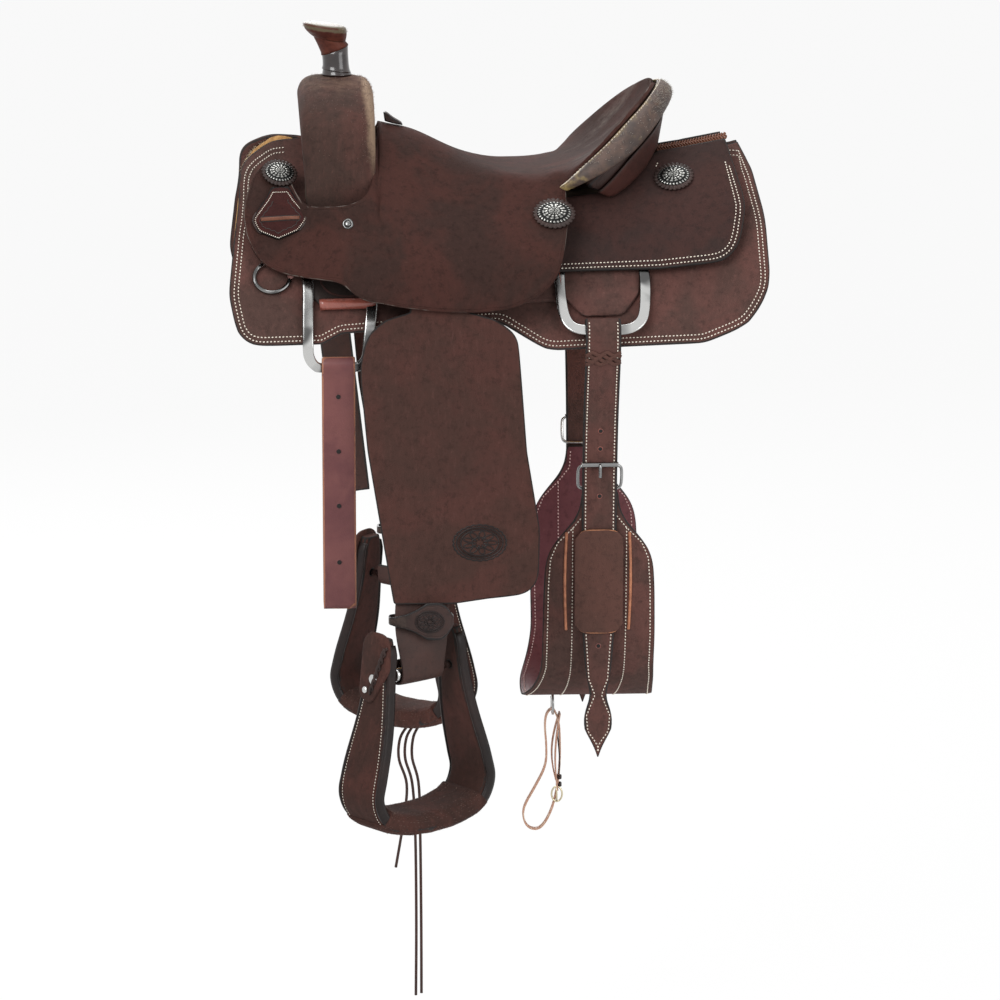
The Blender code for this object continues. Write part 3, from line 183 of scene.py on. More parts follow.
class Graph:
    """The node tree of a material or of the world, with a method for every kind of node that it uses."""

    def __init__(self, owner: Any, shader: str = "BsdfPrincipled", output: str = "OutputMaterial") -> None:
        """Empties the tree, then joins the main shader to the output.

        Args:
            owner: the material or the world.
            shader: type of the main shader.
            output: type of the output.
        """
        self.owner = owner
        owner.use_nodes = True
        self.tree = owner.node_tree
        self.tree.nodes.clear()
        self.shader = self.tree.nodes.new(f"ShaderNode{shader}")
        self.output = self.tree.nodes.new(f"ShaderNode{output}")
        self.tree.links.new(self.shader.outputs[0], self.output.inputs[0])

    def _feed(self, socket: bpy.types.NodeSocket, value: Any) -> None:
        """Links a socket to a value, or sets its number or colour."""
        if isinstance(value, Value):
            self.tree.links.new(value.socket, socket)
        elif isinstance(value, tuple) and len(value) == 3 and socket.type == "RGBA":
            socket.default_value = (*value, 1.0)
        else:
            socket.default_value = value

    def node(self, kind: str, settings: dict[str, Any], sockets: dict[Any, Any], out: Any = 0) -> Value:
        """Adds a node: its settings first, then its sockets.

        Args:
            kind: node type, such as ShaderNodeMath.
            settings: node properties, and stops for a colour ramp.
            sockets: values or links by socket name or number.
            out: name or number of the output that is wanted.

        Returns:
            The chosen output.
        """
        made = self.tree.nodes.new(kind)
        for key, value in settings.items():
            if key != "stops":
                setattr(made, key, value)
                continue
            ramp = made.color_ramp
            while len(ramp.elements) < len(value):
                ramp.elements.new(1.0)
            for element, (place, colour) in zip(ramp.elements, value):
                element.position = place
                element.color = (*colour, 1.0)
        for key, value in sockets.items():
            self._feed(made.inputs[key], value)
        return Value(self, made.outputs[out])

    def place(self) -> Value:
        """The point on the piece, in metres."""
        return self.node("ShaderNodeTexCoord", {}, {}, "Object")

    def attribute(self, name: str) -> Value:
        """A number stored on the piece's vertices."""
        return self.node("ShaderNodeAttribute", {"attribute_name": name}, {}, "Fac")

    def noise(self, place: Value, scale: float, detail: float = 3.0, rough: float = 0.6, twist: float = 0.0) -> Value:
        """Fractal noise between 0 and 1.

        Args:
            place: coordinates.
            scale: features per metre.
            detail: octaves.
            rough: share that each octave keeps.
            twist: distortion.

        Returns:
            The noise.
        """
        sockets = {"Vector": place, "Scale": scale, "Detail": detail, "Roughness": rough, "Distortion": twist}
        return self.node("ShaderNodeTexNoise", {}, sockets, 0)

    def cells(self, place: Value, scale: float) -> Value:
        """Distance to the nearest cell centre, for pores and grain."""
        return self.node("ShaderNodeTexVoronoi", {}, {"Vector": place, "Scale": scale}, "Distance")

    def stretch(self, place: Value, scale: Flat, height: float) -> Value:
        """Coordinates scaled apart, for fibres and brush marks."""
        return self.node("ShaderNodeMapping", {}, {"Vector": place, "Scale": (scale[0], scale[1], height)})

    def mix(self, share: Operand, first: Any, second: Any) -> Value:
        """Colour between two colours."""
        return self.node("ShaderNodeMix", {"data_type": "RGBA"}, {0: share, 6: first, 7: second}, 2)

    def bump(self, height: Value, strength: float, depth: float) -> Value:
        """Normal that follows a height between 0 and 1.

        Args:
            height: the height.
            strength: share of the bump that shows.
            depth: height in metres at 1.

        Returns:
            The normal.
        """
        return self.node("ShaderNodeBump", {}, {"Strength": strength, "Distance": depth, "Height": height})

    def finish(self, **sockets: Any) -> Any:
        """Feeds the main shader.

        Args:
            sockets: values or links by socket name, with _ for a space.

        Returns:
            The material or the world.
        """
        for key, value in sockets.items():
            self._feed(self.shader.inputs[key.replace("_", " ")], value)
        return self.owner


class Finish:
    """Base of the finishes. Each makes its material once."""

    made: dict[str, bpy.types.Material] = {}
    name: str
    slot: str

    def paint(self, graph: Graph) -> bpy.types.Material:
        """Builds the nodes. Each finish has its own."""
        raise NotImplementedError

    def material(self) -> bpy.types.Material:
        """The finish's material, made at the first use."""
        if self.name not in Finish.made:
            Finish.made[self.name] = self.paint(Graph(bpy.data.materials.new(self.name)))
        return Finish.made[self.name]


@dataclass(frozen=True)
class Leather(Finish):
    """Leather with mottled dye, nap or grain, dyed cut edges and rubbed places."""

    name: str
    slot: str
    base: Colour
    patch: Colour
    edge: Colour
    rubbed: Colour
    nap: float = 0.5
    grain: float = 0.0
    roughness: float = 0.85
    clouds: float = 11.0
    rim: float = 0.0024
    crease: float = 0.0
    coat: float = 0.0
    speckle: float = 0.55
    shine: float = 0.2
    darkened: float = 0.52
    lightened: float = 1.55
    crease_half: float = 0.0007
    bump_depth: float = 0.0008

    def paint(self, graph: Graph) -> bpy.types.Material:
        """Mottle, flecks, rubbed places (on the seat partly painted sheen) and rim in colour; nap, grain and the
        creased line in relief.

        Args:
            graph: the material's node tree, still empty.

        Returns:
            The material.
        """
        place = graph.place()
        cloud = graph.noise(place, self.clouds, 4.0, 0.62, 0.4).step(0.38, 0.62)
        fleck = graph.noise(place, 95.0, 5.0, 0.78)
        fibre = graph.noise(place, 900.0, 3.0, 0.65)
        brush = graph.noise(graph.stretch(place, (160.0, 160.0), 40.0), 1.0, 4.0, 0.75)
        edge, worn = graph.attribute("edge"), graph.attribute("worn")
        tone = graph.mix(cloud, self.base, self.patch)
        darker = tuple(part * self.darkened for part in self.base)
        lighter = tuple(min(part * self.lightened + 0.006, 1.0) for part in self.patch)
        tone = graph.mix((1 - fleck.step(0.32, 0.52)) * self.speckle, tone, darker)
        tone = graph.mix(fleck.step(0.58, 0.80) * self.speckle, tone, lighter)
        tone = graph.mix(brush.step(0.50, 0.85) * (0.6 * self.nap), tone, lighter)
        tone = graph.mix((1 - brush.step(0.22, 0.48)) * (0.5 * self.nap), tone, darker)
        tone = graph.mix(fibre.step(0.58, 0.78) * (0.35 * self.nap), tone, lighter)
        # Rubbed places: real wear, and on the seat also painted sheen streaks.
        scuffs_and_sheen = (worn * (0.35 + fleck * 1.3)).step(0.22, 0.78)
        tone = graph.mix(scuffs_and_sheen, tone, self.rubbed)
        rim = 1 - (edge + (fleck - 0.5) * 0.0012).step(self.rim * 0.55, self.rim)
        tone = graph.mix(rim, tone, self.edge)
        relief = fibre * self.nap + fleck * (0.5 * self.nap) - rim * 0.25
        if self.grain > 0:
            relief = relief + graph.cells(place, 620.0) * self.grain
        if self.crease > 0:
            groove = (edge - self.crease) * (1 / self.crease_half)
            relief = relief - (1 - (groove * groove).step(0.0, 1.0)) * 0.8
        dull = self.roughness + (fibre - 0.5) * 0.12 - scuffs_and_sheen * 0.18 - rim * 0.22
        return graph.finish(
            Base_Color=tone, Roughness=dull, Normal=graph.bump(relief, 0.75, self.bump_depth),
            Coat_Weight=self.coat, Coat_Roughness=0.28, Specular_IOR_Level=self.shine,
        )


@dataclass(frozen=True)
class Steel(Finish):
    """Polished or cast metal with fine scratches, soft dark bands of painted reflection in its colour and faint darker
    clouds.
    """

    name: str
    slot: str
    base: Colour = (0.56, 0.56, 0.55)
    # dark: the colour of the painted reflection bands and of the faint clouds.
    dark: Colour = (0.060, 0.060, 0.060)
    roughness: float = 0.12
    scratches: float = 0.08
    bands: float = 14.0

    def paint(self, graph: Graph) -> bpy.types.Material:
        """Clouded reflection, dark bands of painted reflection in the colour, and fine scratches.

        Args:
            graph: the material's node tree, still empty.

        Returns:
            The material.
        """
        place = graph.place()
        haze = graph.noise(place, 70.0, 4.0, 0.6)
        reflection_band = graph.noise(place, self.bands, 2.0, 0.4, 0.8)
        lines = graph.noise(graph.stretch(place, (60.0, 60.0), 900.0), 1.0, 2.0, 0.5)
        # Painted reflection: in soft bands the colour turns almost to the dark one.
        tone = graph.mix(reflection_band.step(0.42, 0.60) * 0.90, self.base, self.dark)
        tone = graph.mix(haze.step(0.50, 0.80) * 0.10, tone, self.dark)
        return graph.finish(
            Base_Color=tone, Metallic=1.0, Roughness=self.roughness + haze * 0.06 + lines * 0.06,
            Normal=graph.bump(lines, self.scratches, 0.0001),
        )


@dataclass(frozen=True)
class Antique(Finish):
    """Blackened silver, bright where the relief stands high."""

    name: str = "antique_silver"
    slot: str = "black_silver"
    high: Colour = (0.34, 0.34, 0.32)
    low: Colour = (0.012, 0.012, 0.012)

    def paint(self, graph: Graph) -> bpy.types.Material:
        """Mixes by the worn value that the concho's relief stores.

        Args:
            graph: the material's node tree, still empty.

        Returns:
            The material.
        """
        place = graph.place()
        haze = graph.noise(place, 900.0, 3.0, 0.6)
        high = (graph.attribute("worn") * (0.6 + haze * 0.8)).step(0.40, 0.80)
        tone = graph.mix(high, self.low, self.high)
        return graph.finish(
            Base_Color=tone, Metallic=0.9, Roughness=0.42 - high * 0.20, Normal=graph.bump(haze, 0.35, 0.0002)
        )


@dataclass(frozen=True)
class Plain(Finish):
    """Thread, rubber, wood, wool or horn hide: two mottled tones, a fibre or pore relief."""

    name: str
    slot: str
    base: Colour
    second: Colour
    roughness: float = 0.7
    scale: float = 160.0
    relief: float = 0.4
    depth: float = 0.0004
    coat: float = 0.0
    stretched: float = 1.0

    def paint(self, graph: Graph) -> bpy.types.Material:
        """Two tones through a fractal noise that may be drawn out along the length.

        Args:
            graph: the material's node tree, still empty.

        Returns:
            The material.
        """
        place = graph.stretch(graph.place(), (1.0, self.stretched), self.stretched)
        cloud = graph.noise(place, self.scale, 5.0, 0.65, 0.3)
        fine = graph.noise(place, self.scale * 6, 3.0, 0.6)
        worn = graph.attribute("worn")
        tone = graph.mix((cloud + worn * 0.5).step(0.35, 0.70), self.base, self.second)
        return graph.finish(
            Base_Color=tone, Roughness=self.roughness + (fine - 0.5) * 0.15, Coat_Weight=self.coat,
            Normal=graph.bump(cloud * 0.6 + fine * 0.4, self.relief, self.depth),
        )


ROUGHOUT = Leather("roughout", "roughout_leather", (0.066, 0.036, 0.030), (0.098, 0.043, 0.036),
                   (0.022, 0.019, 0.018), (0.175, 0.115, 0.082), nap=0.8, roughness=0.92, crease=0.0034)
SWELL_HIDE = Leather("swell_hide", "roughout_leather", (0.046, 0.026, 0.021), (0.070, 0.031, 0.025),
                     (0.060, 0.040, 0.030), (0.270, 0.185, 0.125), nap=0.9, roughness=0.92)
FENDER_HIDE = Leather("fender_hide", "roughout_leather", (0.048, 0.023, 0.018), (0.062, 0.025, 0.020),
                      (0.018, 0.015, 0.014), (0.090, 0.055, 0.042), nap=0.7, roughness=0.9)
HOUSING = Leather("housing", "jockey_leather", (0.030, 0.017, 0.015), (0.043, 0.019, 0.016),
                  (0.020, 0.017, 0.016), (0.120, 0.080, 0.060), nap=0.6, roughness=0.88, crease=0.0034)
# Seat leather: its grey rubbed colour paints the seat's worn streaks, partly wear and partly painted sheen.
JOCKEY = Leather("jockey", "jockey_leather", (0.033, 0.0175, 0.0145), (0.050, 0.0205, 0.0165),
                 (0.120, 0.098, 0.085), (0.120, 0.098, 0.086), nap=0.45, grain=0.2, roughness=0.80,
                 rim=0.0013, crease=0.0042, shine=0.07)
CANTLE_HIDE = Leather("cantle_hide", "jockey_leather", (0.036, 0.014, 0.011), (0.054, 0.018, 0.014),
                      (0.030, 0.016, 0.013), (0.140, 0.070, 0.050), nap=0.2, grain=0.1, roughness=0.60)
BINDING = Leather("binding", "worn_leather", (0.036, 0.021, 0.016), (0.075, 0.042, 0.030),
                  (0.035, 0.022, 0.014), (0.330, 0.240, 0.090), nap=0.6, roughness=0.55, clouds=34.0,
                  rim=0.0012, speckle=0.75, shine=0.45)
DARK = Leather("dark_strap", "dark_leather", (0.024, 0.015, 0.013), (0.036, 0.018, 0.015),
               (0.012, 0.010, 0.010), (0.120, 0.080, 0.060), nap=0.15, grain=0.3, roughness=0.50, crease=0.0030,
               shine=0.25)
PATCH_HIDE = Leather("patch_hide", "dark_leather", (0.034, 0.011, 0.010), (0.060, 0.016, 0.013),
                     (0.010, 0.009, 0.009), (0.120, 0.060, 0.045), nap=0.15, grain=0.3, roughness=0.60,
                     rim=0.0022, shine=0.06)
BAND = Leather("edge_band", "dark_leather", (0.011, 0.0075, 0.0070), (0.018, 0.010, 0.009),
               (0.008, 0.007, 0.007), (0.050, 0.034, 0.028), nap=0.1, grain=0.2, roughness=0.38, shine=0.22)
PLATE = Leather("rigging_plate", "roughout_leather", (0.066, 0.036, 0.030), (0.098, 0.043, 0.036),
                (0.036, 0.019, 0.016), (0.200, 0.120, 0.095), nap=0.9, rim=0.0012, speckle=0.55)
# Front rigging: burgundy leather painted nearly black, as painted shade in its recess.
CAVITY_PAINTED_SHADE = Leather("cavity_painted_shade", "burgundy_leather", (0.014, 0.010, 0.009), (0.022, 0.014, 0.012),
                 (0.040, 0.028, 0.024), (0.060, 0.040, 0.032), nap=0.1, grain=0.2, roughness=0.6, rim=0.0010)
STRAP = Leather("stirrup_strap", "dark_leather", (0.035, 0.0175, 0.0140), (0.048, 0.0205, 0.0160),
                (0.016, 0.013, 0.012), (0.120, 0.080, 0.060), nap=0.3, grain=0.2, roughness=0.66, shine=0.3)
# Stirrup rough-out: its own brown, darkened further with painted shade.
BOW_HIDE_PAINTED_SHADE = Leather("bow_hide_painted_shade", "roughout_leather", (0.038, 0.017, 0.013), (0.060, 0.022, 0.017),
                   (0.014, 0.012, 0.011), (0.130, 0.080, 0.060), nap=0.7, roughness=0.9)
TREAD_HIDE = Leather("tread_hide", "roughout_leather", (0.040, 0.020, 0.016), (0.070, 0.028, 0.022),
                     (0.030, 0.018, 0.015), (0.130, 0.070, 0.055), nap=1.0, roughness=0.95)
PINK_KEEPER = Leather("pink_keeper", "burgundy_leather", (0.230, 0.110, 0.100), (0.300, 0.150, 0.130),
                      (0.100, 0.045, 0.040), (0.400, 0.240, 0.200), nap=0.2, roughness=0.6)
PANEL = Leather("keeper_panel", "dark_leather", (0.073, 0.034, 0.026), (0.088, 0.038, 0.029),
                (0.420, 0.180, 0.090), (0.150, 0.095, 0.070), nap=0.3, grain=0.2, roughness=0.68, rim=0.0012)
BURGUNDY = Leather("burgundy", "burgundy_leather", (0.110, 0.037, 0.039), (0.150, 0.054, 0.051),
                   (0.300, 0.130, 0.080), (0.240, 0.120, 0.100), nap=0.1, grain=0.25, roughness=0.42,
                   rim=0.0014, coat=0.15, speckle=0.15)
RIGGING = Leather("rigging", "burgundy_leather", (0.170, 0.042, 0.030), (0.260, 0.072, 0.050),
                  (0.060, 0.022, 0.018), (0.320, 0.140, 0.100), nap=0.1, grain=0.2, roughness=0.26, coat=0.5,
                  shine=0.5)
LINING = Leather("cinch_lining", "burgundy_leather", (0.110, 0.034, 0.040), (0.140, 0.046, 0.052),
                 (0.022, 0.019, 0.018), (0.240, 0.110, 0.095), nap=0.15, grain=0.2, roughness=0.5)
TAN = Leather("tan_strap", "tan_leather", (0.480, 0.270, 0.190), (0.560, 0.350, 0.260),
              (0.700, 0.560, 0.430), (0.560, 0.360, 0.240), nap=0.1, grain=0.2, roughness=0.5, rim=0.0008,
              speckle=0.2)
LACE = Leather("orange_lace", "tan_leather", (0.125, 0.046, 0.026), (0.190, 0.074, 0.040),
               (0.050, 0.020, 0.012), (0.300, 0.160, 0.090), nap=0.1, grain=0.2, roughness=0.5, rim=0.0006)
RAWHIDE = Leather("rawhide", "horn_rawhide", (0.060, 0.017, 0.012), (0.095, 0.027, 0.017),
                  (0.075, 0.030, 0.020), (0.100, 0.076, 0.046), nap=0.3, roughness=0.50, clouds=60.0,
                  coat=0.05, speckle=0.6, shine=0.08)
# Metal finishes: the second colour is painted reflection, laid in soft bands over the first.
STAINLESS = Steel("polished_steel", "stainless")
WIRE = Steel("buckle_steel", "stainless", (0.62, 0.62, 0.61), (0.20, 0.20, 0.20), 0.2)
COPPER = Steel("copper", "stainless", (0.80, 0.36, 0.17), (0.35, 0.14, 0.07), 0.25)
BRASS = Steel("brass", "stainless", (0.62, 0.55, 0.38), (0.22, 0.18, 0.11), 0.22)
SILVER = Antique()
THREAD = Plain("thread", "roughout_leather", (0.80, 0.75, 0.66), (0.62, 0.53, 0.42), 0.75, 600.0, 0.5)
RED_THREAD = Plain("inner_thread", "burgundy_leather", (0.74, 0.54, 0.50), (0.55, 0.32, 0.32), 0.75, 600.0, 0.5)
WOOL = Plain("wool", "fleece", (0.50, 0.28, 0.10), (0.30, 0.15, 0.05), 0.97, 120.0, 0.9, 0.003)
FRINGE = Plain("wool_fringe", "fleece", (0.72, 0.62, 0.46), (0.50, 0.36, 0.20), 0.97, 240.0, 0.9, 0.001)
HIDE_EDGE = Plain("hide_edge", "tan_leather", (0.44, 0.17, 0.085), (0.28, 0.10, 0.05), 0.55, 130.0, 0.4)
# Near black for holes, gaps and slots: painted shade.
PAINTED_HOLE_SHADE = Plain("painted_hole_shade", "dark_leather", (0.006, 0.005, 0.005), (0.012, 0.009, 0.008), 0.9, 400.0)
RUBBER = Plain("wrap_rubber", "black_rubber", (0.013, 0.008, 0.008), (0.026, 0.013, 0.011), 0.24, 40.0, 0.2,
               0.0004, 0.5)
WOOD = Plain("tree_wood", "tree_wood", (0.060, 0.040, 0.026), (0.035, 0.022, 0.014), 0.75, 30.0, 0.4, 0.0006, 0.0,
             0.15)
FUZZ = Plain("loose_nap", "roughout_leather", (0.300, 0.200, 0.160), (0.140, 0.080, 0.065), 0.9, 400.0, 0.4)
HAIR = Plain("frayed_hide", "worn_leather", (0.50, 0.47, 0.41), (0.22, 0.19, 0.16), 0.85, 400.0, 0.4)


# Shapes


class Outline:
    """Flat outlines in side view, as lists of (x, z) points."""

    @staticmethod
    def rounded(corners: Sequence[tuple[float, float, float]], step: float = 0.25) -> list[Vector]:
        """Closed outline with each corner rounded by a curve.

        Args:
            corners: rows of x, z and the corner's radius.
            step: turn of the outline between two points of a curve, in radians.

        Returns:
            The outline's points.
        """
        points: list[Vector] = []
        for i, (a, b, radius) in enumerate(corners):
            corner = Vector((a, b))
            before = Vector(corners[i - 1][:2]) - corner
            after = Vector(corners[(i + 1) % len(corners)][:2]) - corner
            if radius <= 0:
                points.append(corner)
                continue
            turn = before.angle(after)
            reach = min(radius / math.tan(turn / 2), before.length * 0.49, after.length * 0.49)
            start, end = corner + before.normalized() * reach, corner + after.normalized() * reach
            pieces = max(2, math.ceil((math.pi - turn) / step))
            for k in range(pieces + 1):
                t = k / pieces
                points.append(start * (1 - t) ** 2 + corner * (2 * t * (1 - t)) + end * t ** 2)
        return points

    @staticmethod
    def inset(points: Sequence[Vector], by: float) -> list[Vector]:
        """The outline moved inward, whichever way round it runs.

        Args:
            points: the closed outline.
            by: how far it moves.

        Returns:
            The moved outline.
        """
        area = sum(a.x * b.y - b.x * a.y for a, b in zip(points, list(points[1:]) + [points[0]]))
        turn = 1.0 if area > 0 else -1.0
        moved = []
        for i, p in enumerate(points):
            along = (points[(i + 1) % len(points)] - points[i - 1]).normalized()
            moved.append(p + Vector((-along.y, along.x)) * (by * turn))
        return moved

    @staticmethod
    def dense(points: Sequence[Vector], closed: bool, gap: float = 0.004) -> list[Vector]:
        """Points along a line at most a gap apart.

        Args:
            points: the line.
            closed: whether it runs back to its start.
            gap: the longest gap.

        Returns:
            The line with points added.
        """
        line = list(points) + ([points[0]] if closed else [])
        full = [line[0].copy()]
        for a, b in zip(line, line[1:]):
            count = max(1, math.ceil((b - a).length / gap))
            full += [a.lerp(b, k / count) for k in range(1, count + 1)]
        return full

    @staticmethod
    def smooth(knots: Sequence[Sequence[float]], count: int) -> list[Vector]:
        """Points on the smooth curve through the knots.

        Args:
            knots: points that it passes through.
            count: how many points are wanted.

        Returns:
            The curve's points.
        """
        points = [Vector(k) for k in knots]
        made = []
        for n in range(count):
            place = n / (count - 1) * (len(points) - 1)
            i = min(int(place), len(points) - 2)
            f = place - i
            p = [points[min(max(k, 0), len(points) - 1)] for k in (i - 1, i, i + 1, i + 2)]
            made.append(0.5 * (
                2 * p[1] + (p[2] - p[0]) * f + (2 * p[0] - 5 * p[1] + 4 * p[2] - p[3]) * f ** 2
                + (3 * p[1] - p[0] - 3 * p[2] + p[3]) * f ** 3
            ))
        return made


class Bench:
    """The workbench: makes meshes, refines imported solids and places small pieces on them."""

    unworn_edge = 0.02
    weld = 2e-5
    flat_angle = math.radians(35)
    flat_shape = math.radians(70)
    sample_gap = 0.002
    nowhere = Vector((9.0, 9.0, 9.0))
    break_gap = 0.02

    @staticmethod
    def add(name: str, mesh: bpy.types.Mesh, finish: Finish, body: str) -> bpy.types.Object:
        """Places a mesh as a smooth-shaded piece that rides on a body.

        Args:
            name: the piece's name.
            mesh: its mesh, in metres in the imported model's frame.
            finish: its finish.
            body: the body that it moves with.

        Returns:
            The piece.
        """
        mesh.name = name
        mesh.materials.clear()
        mesh.materials.append(finish.material())
        mesh.polygons.foreach_set("use_smooth", [True] * len(mesh.polygons))
        for key, value in (("edge", Bench.unworn_edge), ("worn", 0.0)):
            if key not in mesh.attributes:
                layer = mesh.attributes.new(key, "FLOAT", "POINT")
                layer.data.foreach_set("value", [value] * len(mesh.vertices))
        piece = bpy.data.objects.new(name, mesh)
        bpy.context.scene.collection.objects.link(piece)
        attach(piece, body)
        return piece

    @staticmethod
    def mesh(points: Sequence[Vector], faces: Sequence[Sequence[int]]) -> bpy.types.Mesh:
        """Mesh with its faces turned outward.

        Args:
            points: its vertices.
            faces: rows of vertex numbers.

        Returns:
            The mesh.
        """
        mesh = bpy.data.meshes.new("shape")
        mesh.from_pydata([tuple(p) for p in points], [], [tuple(f) for f in faces])
        work = bmesh.new()
        work.from_mesh(mesh)
        bmesh.ops.recalc_face_normals(work, faces=work.faces[:])
        work.to_mesh(mesh)
        work.free()
        return mesh

    @staticmethod
    def loft(rings: Sequence[Sequence[Vector]], closed: bool = False) -> bpy.types.Mesh:
        """Skin over rings of equal count, capped at both ends unless it closes on itself.

        Args:
            rings: the rings, from end to end.
            closed: whether the last joins the first.

        Returns:
            The mesh.
        """
        size = len(rings[0])
        points = [p for ring in rings for p in ring]
        faces: list[tuple[int, ...]] = []
        for i in range(len(rings) if closed else len(rings) - 1):
            a, b = i * size, ((i + 1) % len(rings)) * size
            faces += [(a + k, a + (k + 1) % size, b + (k + 1) % size, b + k) for k in range(size)]
        if not closed:
            faces.append(tuple(range(size)))
            faces.append(tuple(range(len(points) - size, len(points))))
        return Bench.mesh(points, faces)

    @staticmethod
    def sweep(path: Sequence[Vector], outs: Sequence[Vector], shape: Sequence[Flat],
              closed: bool = False) -> bpy.types.Mesh:
        """Bar of one section along a path.

        Args:
            path: points of the centre line.
            outs: outward direction at each point.
            shape: section as (across, out) points.
            closed: whether the path runs back into its start.

        Returns:
            The mesh.
        """
        rings = []
        count = len(path)
        for i, spot in enumerate(path):
            before = path[i - 1] if closed or i > 0 else path[i]
            after = path[(i + 1) % count] if closed or i < count - 1 else path[i]
            along = (after - before).normalized()
            across = outs[i].cross(along).normalized()
            out = along.cross(across).normalized()
            rings.append([spot + across * a + out * b for a, b in shape])
        return Bench.loft(rings, closed)

    @staticmethod
    def round_shape(radius: float, sides: int = 8) -> list[Flat]:
        """Section of a round bar."""
        return [(radius * a, radius * b) for a, b in circle(sides)]

    @staticmethod
    def refine(node: str, finish: Finish, levels: int = 2, crease: float = 0.8, corner: float = 48.0,
               shape: Optional[Callable[[Vector], Vector]] = None,
               worn: Optional[Callable[[Vector], float]] = None,
               plain: Optional[Callable[[Vector], bool]] = None) -> bpy.types.Object:
        """Smooth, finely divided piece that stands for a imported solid.

        Args:
            node: the solid.
            finish: the piece's finish.
            levels: subdivisions.
            crease: how sharp its corners stay, 0 to 1.
            corner: angle in degrees from which an edge counts as a corner.
            shape: moves each point of the divided mesh, if given.
            worn: how rubbed each point is, 0 to 1, if given.
            plain: tells where its corners carry no dyed rim, if given.

        Returns:
            The piece, which rides on the solid's body.
        """
        packed = frame["nodes"][node]
        work = bmesh.new()
        work.from_mesh(packed.data)
        bmesh.ops.remove_doubles(work, verts=work.verts[:], dist=Bench.weld)
        bmesh.ops.join_triangles(
            work, faces=work.faces[:], angle_face_threshold=Bench.flat_angle, angle_shape_threshold=Bench.flat_shape
        )
        layer = work.edges.layers.float.new("crease_edge")
        samples: list[Vector] = []
        for line in work.edges:
            if len(line.link_faces) == 2 and line.calc_face_angle(0.0) > math.radians(corner):
                line[layer] = crease
                a, b = line.verts[0].co, line.verts[1].co
                count = max(1, int((b - a).length / Bench.sample_gap))
                if not (plain and plain(a)):
                    samples += [a.lerp(b, k / count) for k in range(count + 1)]
        mesh = bpy.data.meshes.new(node)
        work.to_mesh(mesh)
        work.free()
        mesh.materials.clear()
        rough = bpy.data.objects.new("rough", mesh)
        bpy.context.scene.collection.objects.link(rough)
        modifier = rough.modifiers.new("divide", "SUBSURF")
        modifier.levels = modifier.render_levels = levels
        graph = bpy.context.evaluated_depsgraph_get()
        graph.update()
        fine = bpy.data.meshes.new_from_object(rough.evaluated_get(graph))
        bpy.data.objects.remove(rough)
        tree = KDTree(max(1, len(samples)))
        for i, spot in enumerate(samples or [Bench.nowhere]):
            tree.insert(spot, i)
        tree.balance()
        distances, rubbed = [], []
        for vertex in fine.vertices:
            distances.append(tree.find(vertex.co)[2])
            rubbed.append(worn(vertex.co) if worn else 0.0)
        if shape:
            for vertex in fine.vertices:
                vertex.co = shape(vertex.co)
        for key, values in (("edge", distances), ("worn", rubbed)):
            stored = fine.attributes.new(key, "FLOAT", "POINT")
            stored.data.foreach_set("value", values)
        piece = Bench.add(f"{node}_dressed", fine, finish, packed["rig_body"])
        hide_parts(node)
        return piece

    @staticmethod
    def plane(node: str) -> tuple[list[Vector], Vector, Vector, Vector, Vector]:
        """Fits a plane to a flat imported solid.

        Args:
            node: the solid.

        Returns:
            Its points, their middle, then the plane's outward normal, its direction rearward and the one across that.
        """
        points = np.array([v.co for v in frame["nodes"][node].data.vertices], float)
        middle = Vector(points.mean(0))
        normal = Vector(np.linalg.svd(points - points.mean(0))[2][2])
        if normal.y * middle.y < 0:
            normal = -normal
        along = (REARWARD - normal * normal.x).normalized()
        return [Vector(p) for p in points], middle, normal, along, normal.cross(along).normalized()

    @staticmethod
    def surface(piece: bpy.types.Object) -> BVHTree:
        """The piece's surface, for placing other pieces on it."""
        work = bmesh.new()
        work.from_mesh(piece.data)
        tree = BVHTree.FromBMesh(work)
        work.free()
        return tree

    @staticmethod
    def drop(tree: BVHTree, start: Vector, way: Vector) -> Optional[Spot]:
        """Where a ray from start along way meets a surface, with the surface's normal towards the ray.

        Args:
            tree: the surface.
            start: where the ray starts.
            way: where it goes.

        Returns:
            The spot and its normal, or None where the ray misses.
        """
        spot, normal, _, _ = tree.ray_cast(start, way)
        if spot is None:
            return None
        return spot, normal if normal.dot(way) < 0 else -normal

    @staticmethod
    def outside(tree: BVHTree, side: Side, place: Flat) -> Optional[Spot]:
        """Where a place (x, z) in side view meets a surface from outside."""
        return Bench.drop(tree, side.point(place[0], CLEAR, place[1]), Vector((0, -side.value, 0)))

    @staticmethod
    def from_side(tree: BVHTree, side: Side, line: Iterable[Vector]) -> list[list[Spot]]:
        """Lays a side-view line on a surface from outside.

        Args:
            tree: the surface.
            side: the side that is seen.
            line: its points as (x, z).

        Returns:
            Its rows of spots, broken where the surface ends.
        """
        rows: list[list[Spot]] = [[]]
        for p in line:
            hit = Bench.outside(tree, side, (p.x, p.y))
            jump = rows[-1] and hit and (hit[0] - rows[-1][-1][0]).length > Bench.break_gap
            if hit is None or jump:
                rows.append([])
            if hit is not None:
                rows[-1].append(hit)
        return [row for row in rows if len(row) > 2]

